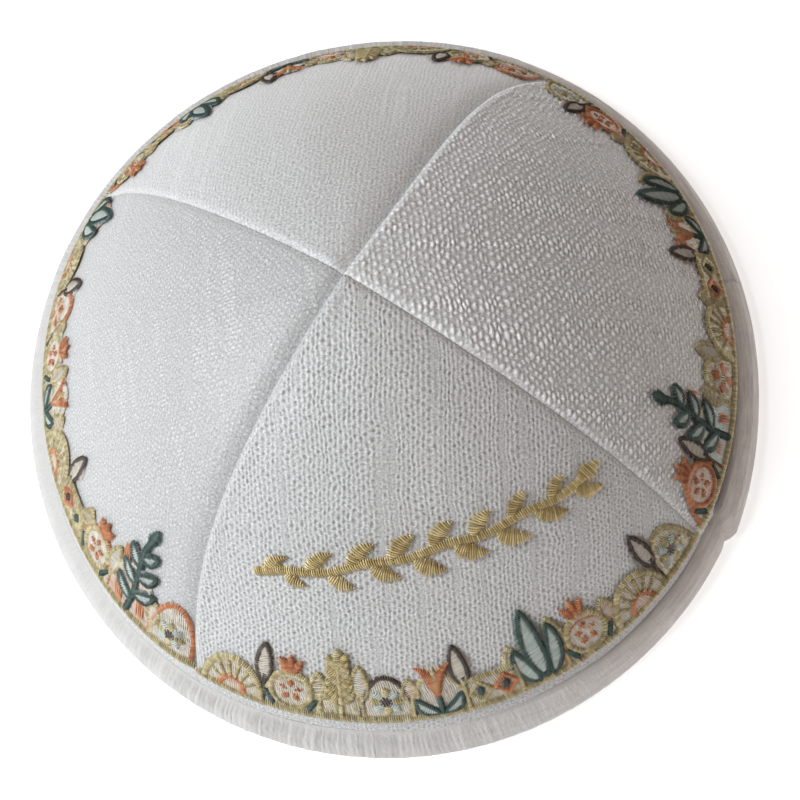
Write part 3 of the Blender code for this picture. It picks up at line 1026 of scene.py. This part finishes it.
def ribTree():
    tree, entry = newTree("tapeRibs", {
        "Rib Depth": ("NodeSocketFloat", 0.0001),
        "Seed": ("NodeSocketFloat", 1.0),
        "Material": ("NodeSocketMaterial", None),
    })
    turns = readAttribute(tree, "ribTurns")  # counts ribs round the rim
    strength = readAttribute(tree, "ribStrength")
    outward = readAttribute(tree, "outward", "FLOAT_VECTOR")
    crest = calc(tree, "ABSOLUTE", calc(tree, "SINE", calc(tree, "MULTIPLY", turns, math.pi)))
    which = addNode(tree, "ShaderNodeTexWhiteNoise", noise_dimensions="1D")
    plug(tree, which.inputs["W"], calc(tree, "ADD", calc(tree, "FLOOR", turns), entry.outputs["Seed"]))
    uneven = calc(tree, "MULTIPLY_ADD", which.outputs["Value"], 0.8, 0.35)
    crest = calc(tree, "MULTIPLY", calc(tree, "POWER", crest, 0.7), uneven)
    height = calc(tree, "MULTIPLY", calc(tree, "MULTIPLY", crest, strength), entry.outputs["Rib Depth"])
    # painted shade: the rib attribute, read by the tape's colour, falls in the hollows between ribs
    hollow = calc(tree, "MULTIPLY", calc(tree, "SUBTRACT", 1.0, crest), strength)
    shown = calc(tree, "SUBTRACT", 1.0, hollow)
    geometry = storeAttribute(tree, entry.outputs["Geometry"], "rib", shown)
    return endTree(tree, entry, movePoints(tree, geometry, scaleVector(tree, outward, height)))


def buildBinding(material):
    length = math.pi * (dome["rimWidth"] + dome["rimLength"]) / 2
    ribs = round(length / binding["ribPitch"])
    count = ribs * binding["stepsPerRib"]
    even = np.arange(count) / count * math.tau
    azimuth = even + valueNoise(even * 16 * 3, even * 0, 41) * binding["crowd"] / meanRadius
    sections, relief = bindingSections(azimuth)
    columns, rows = sections.shape[:2]
    outward = sections - np.mean(sections, axis=1, keepdims=True)
    outward /= np.linalg.norm(outward, axis=-1, keepdims=True)
    faces = gridFaces(columns, rows, True, True)
    thing = makeMeshObject("ribbedBinding", sections.reshape(-1, 3), faces)
    mesh = thing.data
    turns = np.repeat(np.arange(columns) / columns * ribs, rows)
    row = np.tile(np.arange(rows), columns)
    wobble = valueNoise(turns * 0.9, row * 0.55, 47) * binding["ribWobble"]
    storeFloats(mesh, "ribTurns", turns + wobble)
    fuzz = 0.72 + 0.28 * valueNoise(turns * 1.7, row * 0.8, 43)
    pulled = np.repeat(smoothness(azimuth), rows)
    storeFloats(mesh, "pulled", pulled)
    calmSide = np.exp(-((wrapAngle(azimuth - binding["calmMiddle"]) / binding["calmReach"]) ** 4))
    flat = np.maximum(pulled, 0.85 * np.repeat(calmSide, rows))
    flattened = 1 - (1 - binding["smoothRibs"]) * flat
    storeFloats(mesh, "ribStrength", np.tile(relief, columns) * flattened * fuzz)
    # painted shadow along the tape's upper edge, only where the tape is pulled smooth
    shaded = np.tile(np.r_[1.0, 1.0, 0.5, np.zeros(rows - 3)], columns)
    storeFloats(mesh, "tapeEdgeShade", shaded * np.repeat(smoothness(azimuth), rows))
    storeVectors(mesh, "outward", outward.reshape(-1, 3))
    around = np.tile(np.arange(rows) / rows * 16, columns)
    storeUv(mesh, "tape", np.stack([turns * binding["ribPitch"] * 1000, around], axis=-1))
    fixNormals(thing)
    runTree(thing, ribTree(), {"Rib Depth": binding["ribDepth"], "Seed": 5.0, "Material": material})
    thing.data.shade_smooth()
    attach(thing, root)
    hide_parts("rim_binding")


# Embroidery: rails with a width, each later covered with satin stitches. Sizes are in
# millimetres: x runs along the rim and y up the wall from the base line.
embroidery = {
    "baseLineWidth": 1.1,
    "overMargin": 1.4,  # the base line runs on towards the seam
    "margin": 2.0 * mm,  # bare cloth beside a seam
    "spacing": 0.44 * mm,
    "thread": 0.48 * mm,
    "outlinePuff": 0.36 * mm,
    "fillPuff": 0.24 * mm,
    "slant": 0.22,
    "lift": 0.13 * mm,
    "layerLift": 0.11 * mm,
    "fillRow": 1.55,  # length of a stitch in a filled field
    "seed": 3,
}

motifSizes = {  # width and height, and the height of the arch behind, 0 for none
    "fan": (15.0, 10.0, 0.0),
    "pomegranate": (13.0, 15.5, 9.0),
    "leaves": (11.0, 20.0, 11.5),
    "tulip": (12.0, 14.0, 10.5),
    "rosette": (11.0, 10.5, 11.0),
    "wheat": (9.5, 19.0, 11.5),
    "lattice": (12.0, 8.0, 0.0),
    "sprout": (15.0, 28.0, 12.0),
}

podHeights = (14.5, 10.5, 17.0, 12.0)  # in turn along a panel
archStretch = {"left": 1.22}  # arches stand higher in some panels
hedge = (2.3, 3.0)  # middle and width of the pale band behind the motifs

archColours = (  # fill and outline, in turn along a panel
    ("cream", "oldGold"),
    ("glitter", "orange"),
    ("peach", "oldGold"),
    ("cream", "orange"),
    ("mint", "oldGold"),
    ("glitter", "oldGold"),
    ("cream", "brown"),
)

borders = {
    "front": ("fan", "pomegranate", "wheat", "rosette", "tulip", "lattice", "leaves", "pomegranate", "fan", "rosette"),
    "right": ("pomegranate", "sprout", "rosette", "fan", "lattice", "tulip", "leaves", "fan", "pomegranate", "rosette"),
    "back": ("rosette", "pomegranate", "fan", "wheat", "rosette", "tulip", "fan", "leaves", "lattice", "pomegranate"),
    "left": ("leaves", "fan", "rosette", "pomegranate", "tulip", "fan", "lattice", "pomegranate", "sprout", "rosette"),
}


class Drawing:
    # collects the rails of a motif; a base above 0 lays it over other drawings
    def __init__(self, base=0.0):
        self.rails = []
        self.base = base

    def rail(self, colour, points, widths, layer=2, filling=False):
        widths = [widths] * len(points) if np.isscalar(widths) else list(widths)
        steps = np.concatenate([[0.0], np.cumsum([max(math.dist(a, b), 0.01) for a, b in zip(points[:-1], points[1:])])])
        places = np.linspace(0, steps[-1], max(len(points), 2 + int(steps[-1] / 2.5)))
        places = np.union1d(steps, places)
        x = np.interp(places, steps, [point[0] for point in points])
        y = np.interp(places, steps, [point[1] for point in points])
        self.rails.append((colour, x, y, np.interp(places, steps, widths), self.base + layer, filling))

    def arc(self, colour, centre, radii, width, start=0, end=360, layer=2):
        angles = np.radians(np.linspace(start, end, 25))
        points = [(centre[0] + radii[0] * math.cos(a), centre[1] + radii[1] * math.sin(a)) for a in angles]
        self.rail(colour, points, width, layer)

    def fill(self, colour, low, high, halfWidth, middle=0.0, layer=0):
        # rows of short stitches between two heights, as wide as halfWidth(y) says
        count = max(1, round((high - low) / embroidery["fillRow"]))
        row = (high - low) / count
        for index in range(count):
            y = low + (index + 0.5) * row
            half = halfWidth(y) - 0.15
            if half > 0.4:
                ends = [(middle - half, y), (middle + half, y)]
                self.rail(colour, ends if index % 2 else ends[::-1], row * 1.18, layer, True)

    def fillOval(self, colour, centre, radii, low=-1.0, layer=0):
        def half(y):
            return radii[0] * math.sqrt(max(0.0, 1 - ((y - centre[1]) / radii[1]) ** 2))
        self.fill(colour, centre[1] + low * radii[1], centre[1] + radii[1], half, centre[0], layer)

    def leaf(self, colour, base, tip, width, bend=0.0, layer=2, fullness=0.8):
        points, widths = [], []
        dx, dy = tip[0] - base[0], tip[1] - base[1]
        for s in np.linspace(0, 1, 10):
            curve = 4 * s * (1 - s) * bend
            points.append((base[0] + dx * s - dy * curve, base[1] + dy * s + dx * curve))
            widths.append(0.25 + (width - 0.25) * math.sin(math.pi * s**0.85) ** fullness)
        self.rail(colour, points, widths, layer)

    def outlinedLeaf(self, edge, inside, base, tip, width, bend=0.0, line=0.85):
        dx, dy = tip[0] - base[0], tip[1] - base[1]
        length = math.hypot(dx, dy)
        sides = {1: [], -1: []}
        spine, widths = [], []
        for s in np.linspace(0, 1, 11):
            curve = 4 * s * (1 - s) * bend
            x, y = base[0] + dx * s - dy * curve, base[1] + dy * s + dx * curve
            half = width / 2 * math.sin(math.pi * s**0.85) ** 0.8
            for side, points in sides.items():
                points.append((x - dy / length * half * side, y + dx / length * half * side))
            spine.append((x, y))
            widths.append(max(0.2, 2 * half - 0.4))
        self.rail(inside, spine[1:-1], widths[1:-1], 1)
        for points in sides.values():
            self.rail(edge, points, [0.5] + [line] * 9 + [0.4], 2)


def drawFan(d, flip):
    d.fillOval("cream" if flip > 0 else "glitter", (0, 0.5), (6.6, 8.2), 0.0)
    d.arc("oldGold", (0, 0.6), (7.0, 9.0), 1.0, 2, 178)
    for angle in (30, 54, 78, 102, 126, 150):
        across, high = math.cos(math.radians(angle)), math.sin(math.radians(angle))
        d.rail("oldGold", [(3.3 * across, 0.6 + 4.0 * high), (6.2 * across, 0.6 + 7.9 * high)], 0.6)
    d.arc("orange", (0, 0.6), (2.9, 3.5), 0.9, 0, 180)
    d.fillOval("peach", (0, 0.4), (2.3, 2.9), 0.0, 1)


def drawPomegranate(d, flip):
    ring, crown, fill = ("orange", "orange", "peach") if flip > 0 else ("oldGold", "orange", "cream")
    d.fillOval(fill, (0, 6.1), (4.6, 4.8))
    for angle in (18, 90, 162, 234, 306):
        x, y = 1.2 * math.cos(math.radians(angle)), 6.0 + 1.3 * math.sin(math.radians(angle))
        d.leaf("orange", (x, y), (x * 2.2, 6.0 + (y - 6.0) * 2.2), 1.0)
    d.arc(ring, (0, 6.1), (4.8, 5.0), 0.85, 92, 452)
    for tip in ((-2.7, 14.6), (0.0, 15.6), (2.7, 14.6)):
        d.leaf(crown, (tip[0] * 0.3, 10.7), tip, 1.3, 0.02 * tip[0])
    for side in (-1, 1):
        d.leaf("green", (side * 4.2, 0.6), (side * 6.2, 4.6), 1.1, 0.12 * side)


def drawLeaves(d, flip):
    for side in (-1, 1):
        d.outlinedLeaf("green", "mint", (side * 1.6, 0.7), (side * 4.8, 12.4 + 1.5 * side * flip), 3.2, -0.07 * side, 0.9)
    d.outlinedLeaf("green", "mint", (0, 1.0), (0.5 * flip, 19.4), 4.2, 0.03 * flip, 1.0)


def drawTulip(d, flip):
    d.rail("green", [(0, 0.4), (0.2 * flip, 2.6), (0, 5.4)], 0.8)
    for side in (-1, 1):
        d.outlinedLeaf("green", "mint", (side * 0.6, 0.7), (side * 5.0, 5.2), 2.2, -0.16 * side, 0.7)
    d.fillOval("cream", (0, 8.9), (2.9, 3.6))
    d.leaf("oldGold", (0, 6.2), (0, 13.0), 1.3)
    for side in (-1, 1):
        d.leaf("orange", (side * 0.3, 5.2), (side * 4.0, 13.4), 1.7, 0.17 * side)


def drawRosette(d, flip):
    middle = (0, 5.2)
    colours = ("orange", "peach") if flip > 0 else ("oldGold", "mint")
    for index in range(8):
        angle = math.radians(90 + index * 45)
        across, high = math.cos(angle), math.sin(angle)
        base, tip = (1.1 * across, middle[1] + 1.1 * high), (3.7 * across, middle[1] + 3.7 * high)
        d.leaf(colours[index % 2], base, tip, 1.5, 0.0, 1, 0.6)
    d.fillOval("oldGold" if flip > 0 else "brown", middle, (1.1, 1.1), -1.0, 2)


def drawWheat(d, flip):
    d.rail("oldGold", [(0, 0.3), (0.3 * flip, 6), (0, 15.2)], 0.7)
    for step in range(6):
        low = 3.8 + 2.05 * step
        reach = 3.2 - 0.20 * step
        for side in (-1, 1):
            colour = "gold" if (step + side) % 3 == 0 else "oldGold"
            base = low + (0.6 if side > 0 else 0.0)
            d.leaf(colour, (0.15 * side, base), (reach * side, base + 3.2), 1.35, -0.10 * side)
    d.leaf("oldGold", (0, 14.8), (0, 18.9), 1.4)


def drawLattice(d, flip):
    d.fill("glitter" if flip > 0 else "cream", 0.6, 7.2, lambda y: 5.9)
    d.rail("oldGold", [(-6.0, 7.6), (6.0, 7.6)], 0.9)
    for side in (-1, 1):
        d.rail("oldGold", [(6.0 * side, 0.6), (6.0 * side, 7.6)], 0.8)
    for middle in (-2.9, 2.9):
        corners = [(middle - 2.5, 3.9), (middle, 6.5), (middle + 2.5, 3.9), (middle, 1.3), (middle - 2.5, 3.9)]
        for first, second in zip(corners[:-1], corners[1:]):
            d.rail("orange" if middle * flip < 0 else "oldGold", [first, second], 0.7)
        d.leaf("brown" if middle * flip < 0 else "green", (middle, 2.7), (middle, 5.1), 1.3, 0.0, 2, 0.6)


def drawSprout(d, flip):
    stem = [(0, 0.4), (0.9 * flip, 7.0), (0.4 * flip, 14.0), (-0.6 * flip, 20.0), (0.2 * flip, 24.2)]
    d.rail("green", stem, 1.05)
    rows = ((5.2, 6.6), (7.6, 6.8), (10.8, 6.4), (13.2, 6.2), (16.2, 5.6), (18.6, 5.2))
    for index, (low, reach) in enumerate(rows):
        side = -1 if index % 2 == 0 else 1
        x = float(np.interp(low, [point[1] for point in stem], [point[0] for point in stem]))
        tip = (x + side * reach * 0.86, low + reach * 0.62)
        d.outlinedLeaf("green", "mint", (x, low), tip, 2.4, -0.10 * side, 0.95)
    d.leaf("green", (stem[-1][0], 23.0), (stem[-1][0] + 0.6 * flip, 27.6), 2.0)
    for x, y in ((-3.4, 3.4), (3.8, 4.4), (-4.9, 15.6)):
        d.fillOval("orange", (x * flip, y), (1.1, 1.1), -1.0, 2)


def drawArch(d, width, high, fill, line):
    d.fillOval(fill, (0, 0.4), (width / 2 - 0.3, high - 0.4), 0.0)
    d.arc(line, (0, 0.4), (width / 2, high), 0.8, 3, 177, 0.6)


def drawPod(d, high, number):
    # seed pod on a stem, standing where two arches meet
    line, fill = (("oldGold", "cream"), ("oldGold", "peach"), ("brown", "cream"), ("oldGold", "glitter"))[number % 4]
    d.rail(line, [(0, 0.4), (0.2, high * 0.5)], 0.7)
    d.outlinedLeaf(line, fill, (0.2, high * 0.38), (-0.1, high), 3.6, 0.02, 0.75)


motifDrawers = {
    "fan": drawFan,
    "pomegranate": drawPomegranate,
    "leaves": drawLeaves,
    "tulip": drawTulip,
    "rosette": drawRosette,
    "wheat": drawWheat,
    "lattice": drawLattice,
    "sprout": drawSprout,
}


def placeRails(drawing, centre, lineUp, stretch=1.0, radius=None):
    # dome places of a drawing: heights up from the rim, azimuths, widths, lifts and puffs in metres
    placed = []
    for colour, x, y, widths, layer, filling in drawing.rails:
        ups = lineUp(x) + y * mm
        across = radius or radiusAt(shareUp(ups))
        puff = embroidery["fillPuff" if filling else "outlinePuff"]
        lift = embroidery["lift"] + layer * embroidery["layerLift"]
        placed.append((colour, ups, centre + x * stretch * mm / across, widths * mm, lift, puff))
    return placed


def borderRails(panel):
    kinds = borders[panel]
    baseShare = float(shareUp(baseLine["up"]))
    start, end = (float(side) for side in panelSides(panel, baseShare, embroidery["margin"]))
    radius = float(radiusAt(baseShare))
    room = (end - start) * radius / mm
    fit = room / sum(motifSizes[kind][0] for kind in kinds)
    placed = []

    def lay(drawing, centre, stretch=fit):
        def lineUp(x):
            return baseLineUp(centre + x * mm / radius)
        return placeRails(drawing, centre, lineUp, stretch, radius)

    passed = 0.0
    for index, kind in enumerate(kinds):
        width, _, archHigh = motifSizes[kind]
        centre = start + (passed + width * fit / 2) / room * (end - start)
        if archHigh:
            arch = Drawing()
            fill, line = archColours[(index + 2 * len(panel)) % len(archColours)]
            # painted light: on the left panel the gold outlines of the arches are made pale cream, as if washed out by
            # the light
            line = "cream" if panel == "left" and line == "oldGold" else line
            drawArch(arch, width * 1.06, archHigh * archStretch.get(panel, 1.0), fill, line)
            placed += lay(arch, centre)
        if passed:
            pod = Drawing(-0.6)
            drawPod(pod, podHeights[(index + len(panel)) % len(podHeights)], index + len(panel))
            placed += lay(pod, start + passed / room * (end - start))
        motif = Drawing(1.2)
        motifDrawers[kind](motif, 1 if index % 2 == 0 else -1)
        placed += lay(motif, centre)
        passed += width * fit
    line = Drawing()
    line.rail("cream", [(-room / 2, hedge[0]), (room / 2, hedge[0])], hedge[1], -0.7, True)
    reach = room / 2 + embroidery["overMargin"]
    line.rail("oldGold", [(-reach, 0.0), (reach, 0.0)], embroidery["baseLineWidth"], 3.4)
    placed += lay(line, (start + end) / 2, 1.0)
    return placed


sprig = {
    "length": 62.0,  # along the stem
    "turn": math.radians(2.7),
    "endUp": 45.5 * mm,
    "rise": 5.0 * mm,
    "stem": 1.2,
    "leafLength": 6.4,
    "leafWidth": 2.2,
    "leafAngle": math.radians(38),
    "leaves": 8,
}


def sprigRails():
    drawing = Drawing()
    half = sprig["length"] / 2

    def sway(x):
        return 0.40 * math.sin(x * 0.42)

    drawing.rail("gold", [(x, sway(x)) for x in np.linspace(-half, half, 60)], sprig["stem"])
    pitch = (sprig["length"] - 8.0) / (sprig["leaves"] - 1)
    for index in range(sprig["leaves"]):
        along = -half + 1.5 + pitch * index
        small = 1 - 0.28 * abs(along / half) ** 2
        reach = sprig["leafLength"] * small
        for side, shift in ((1, 0.0), (-1, pitch / 2)):
            base = (along + shift, sway(along + shift) + 0.3 * side)
            tip = (base[0] + reach * math.cos(sprig["leafAngle"]), base[1] + side * reach * math.sin(sprig["leafAngle"]))
            drawing.leaf("gold", base, tip, sprig["leafWidth"] * small, 0.13 * side)
    drawing.leaf("gold", (half - 1.0, sway(half)), (half + 4.0, sway(half) + 0.6), sprig["leafWidth"])

    def lineUp(x):
        return sprig["endUp"] + sprig["rise"] * (1 - (x / half) ** 2)

    radius = float(radiusAt(shareUp(sprig["endUp"] + sprig["rise"])))
    return placeRails(drawing, -math.pi / 2 + sprig["turn"], lineUp, 1.0, radius)


def stitchTree():
    tree, entry = newTree("satinStitches", {
        "Spacing": ("NodeSocketFloat", 0.0004),
        "Thread": ("NodeSocketFloat", 0.0004),
        "Slant": ("NodeSocketFloat", 0.2),
        "Seed": ("NodeSocketInt", 1),
        "Material": ("NodeSocketMaterial", None),
    })
    line = addNode(tree, "GeometryNodeMeshToCurve", {"Mesh": entry.outputs["Geometry"]})
    steps = {"Curve": line.outputs[0], "Length": entry.outputs["Spacing"]}
    even = addNode(tree, "GeometryNodeResampleCurve", steps, mode="LENGTH")
    # one stitch: a thread one unit long, arched, its ends tucked in
    ends = {"Start": (-0.5, 0, 0), "End": (0.5, 0, 0)}
    thread = addNode(tree, "GeometryNodeCurvePrimitiveLine", ends).outputs[0]
    bends = addNode(tree, "GeometryNodeResampleCurve", {"Count": 4, "Curve": thread}, mode="COUNT")
    along = split(tree, addNode(tree, "GeometryNodeInputPosition").outputs[0])[0]
    arch = calc(tree, "MULTIPLY_ADD", calc(tree, "MULTIPLY", along, along), -4.6, 1.0)
    arched = movePoints(tree, bends.outputs[0], combine(tree, 0.0, 0.0, arch))
    section = addNode(tree, "GeometryNodeCurvePrimitiveCircle", {"Resolution": 3, "Radius": 0.56})
    wall = {"Curve": arched, "Profile Curve": section.outputs[0], "Fill Caps": True}
    tube = addNode(tree, "GeometryNodeCurveToMesh", wall)
    # lay a stitch across every point of the rail
    seed = entry.outputs["Seed"]
    outward = readAttribute(tree, "outward", "FLOAT_VECTOR")
    tangent = addNode(tree, "GeometryNodeInputTangent").outputs[0]
    sideways = vectorCalc(tree, "CROSS_PRODUCT", outward, tangent)
    lean = calc(tree, "ADD", entry.outputs["Slant"], randomNumber(tree, seed, -0.10, 0.10))
    axes = {0: outward, 1: vectorCalc(tree, "ADD", tangent, scaleVector(tree, sideways, lean))}
    turn = addNode(tree, "FunctionNodeAxesToRotation", axes, primary_axis="Z", secondary_axis="Y")
    vary = randomNumber(tree, calc(tree, "ADD", seed, 17.0), 0.90, 1.12)
    width = calc(tree, "MULTIPLY", readAttribute(tree, "railWidth"), vary)
    lay = addNode(tree, "GeometryNodeInstanceOnPoints", {
        "Points": even.outputs[0],
        "Instance": tube.outputs[0],
        "Rotation": turn.outputs[0],
        "Scale": combine(tree, width, entry.outputs["Thread"], readAttribute(tree, "railPuff")),
    })
    # a random tone for every stitch; its lighter end is a painted glint
    shade = randomNumber(tree, calc(tree, "ADD", seed, 5.0))
    geometry = storeAttribute(tree, lay.outputs[0], "threadToneAndGlint", shade, "INSTANCE")
    return endTree(tree, entry, geometry, smooth=True)


def buildStitches(name, rails, colour, tree, material, node):
    chosen = [rail for rail in rails if rail[0] == colour]
    if not chosen:
        return
    points, edges, normals, widths, puffs = [], [], [], [], []
    first = 0
    for _, ups, azimuths, railWidths, lift, puff in chosen:
        share = shareUp(ups)
        points.append(capPoint(share, azimuths, lift))
        normals.append(domeNormal(share, azimuths))
        widths.append(railWidths)
        puffs.append(np.full(len(ups), puff))
        edges += [(first + step, first + step + 1) for step in range(len(ups) - 1)]
        first += len(ups)
    thing = makeMeshObject(name, np.concatenate(points), [], edges=edges)
    mesh = thing.data
    storeVectors(mesh, "outward", np.concatenate(normals))
    storeFloats(mesh, "railWidth", np.concatenate(widths))
    storeFloats(mesh, "railPuff", np.concatenate(puffs))
    runTree(thing, tree, {
        "Spacing": embroidery["spacing"],
        "Thread": embroidery["thread"],
        "Slant": embroidery["slant"],
        "Seed": embroidery["seed"] + sum(ord(letter) for letter in name) % 97,
        "Material": material,
    })
    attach(thing, root)
    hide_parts(node)


# Floor, light and camera
studio = {
    "floorColour": (0.93, 0.93, 0.93, 1),
    "floorGlow": 0.55,
    "leftSky": (0.272, 0.296, 0.312, 1),
    "rightSky": (0.232, 0.168, 0.128, 1),
    "keyPlace": (-0.62, -0.02, 0.68),
    "keyColour": (0.955, 0.985, 1.0),
    "keyStrength": 6.3,
    "fillPlace": (0.50, -0.55, 0.60),
    "fillColour": (1.0, 0.86, 0.76),
    "fillStrength": 0.18,
}


def buildFloor():
    bpy.ops.mesh.primitive_plane_add(size=6.0, location=(0, 0, 0))
    ground = bpy.context.object
    ground.name = "floor"
    looks = {"Base Color": studio["floorColour"], "Roughness": 0.9}
    looks.update({"Emission Color": (1, 1, 1, 1), "Emission Strength": studio["floorGlow"]})
    ground.data.materials.append(newMaterial("paleFloor", looks)[0])
    ground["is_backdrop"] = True


def addAreaLight(name, place, aim, size, energy, colour):
    data = bpy.data.lights.new(name, "AREA")
    data.energy = energy
    data.size = size
    data.color = colour
    light = bpy.data.objects.new(name, data)
    light.location = place
    light.rotation_euler = (Vector(aim) - Vector(place)).to_track_quat("-Z", "Y").to_euler()
    bpy.context.scene.collection.objects.link(light)


def buildLights():
    world = bpy.data.worlds.new("studioWorld")
    bpy.context.scene.world = world
    world.use_nodes = True
    tree = world.node_tree
    direction = split(tree, addNode(tree, "ShaderNodeTexCoord").outputs["Generated"])
    rightward = calc(tree, "MULTIPLY_ADD", direction[0], 0.5, 0.5, clamp=True)
    sky = mixColours(tree, rightward, studio["leftSky"], studio["rightSky"])
    plug(tree, tree.nodes["Background"].inputs["Color"], sky)
    for light, aimHeight, size in (("key", 0.03, 0.45), ("fill", 0.02, 0.6)):
        place, colour, strength = (studio[light + key] for key in ("Place", "Colour", "Strength"))
        addAreaLight(light + "Light", place, (0, 0, aimHeight), size, strength, colour)


cameraView = {
    "place": (0.0095, -0.1467, 0.3297),
    "aim": (0.0021, -0.0182, 0.025),
    "roll": math.radians(16.3),  # the picture is turned this much anticlockwise
    "lens": 74.0,
}


def buildCamera():
    data = bpy.data.cameras.new("photoCamera")
    data.lens = cameraView["lens"]
    data.sensor_width = 36.0
    data.clip_start = 0.01
    data.clip_end = 20.0
    camera = bpy.data.objects.new("photoCamera", data)
    place = Vector(cameraView["place"])
    look = (Vector(cameraView["aim"]) - place).to_track_quat("-Z", "Y")
    camera.matrix_world = Matrix.Translation(place) @ look.to_matrix().to_4x4() @ Matrix.Rotation(-cameraView["roll"], 4, "Z")
    bpy.context.scene.collection.objects.link(camera)
    bpy.context.scene.camera = camera


# Building
buildCamera()
buildLights()
buildFloor()
bpy.context.scene.view_settings.view_transform = "Standard"
print("camera, light and floor set")

insideMaterial = makeInsideMaterial()
tapeMaterial = makeTapeMaterial()
threadMaterials = {name: makeThreadMaterial(name) for name in threads}
print("materials made")

weaving = weaveTree()
for panelName in panels:
    wovenFace = buildWovenFace(panelName, weaving, makeClothMaterial(panelName))
    buildBacking(panelName, insideMaterial)
    print("panel", panelName, "woven")
for seamName in seams:
    buildAllowance(seamName, insideMaterial)
buildBinding(tapeMaterial)
print("binding folded")

stitching = stitchTree()
for panelName in panels:
    rails = borderRails(panelName)
    for colour in threads:
        pieceName = "border_" + panelName + "_" + colour
        thread = threadMaterials[colour]
        node = "border_embroidery_" + panelName
        buildStitches(pieceName, rails, colour, stitching, thread, node)
    print("border", panelName, "stitched")
thread = threadMaterials["gold"]
buildStitches("sprigStitches", sprigRails(), "gold", stitching, thread, "front_sprig")
print("sprig stitched")

boxes = {"cad": cadBox, "visual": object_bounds()}
boxes = {name: [list(corner) for corner in box] for name, box in boxes.items()}
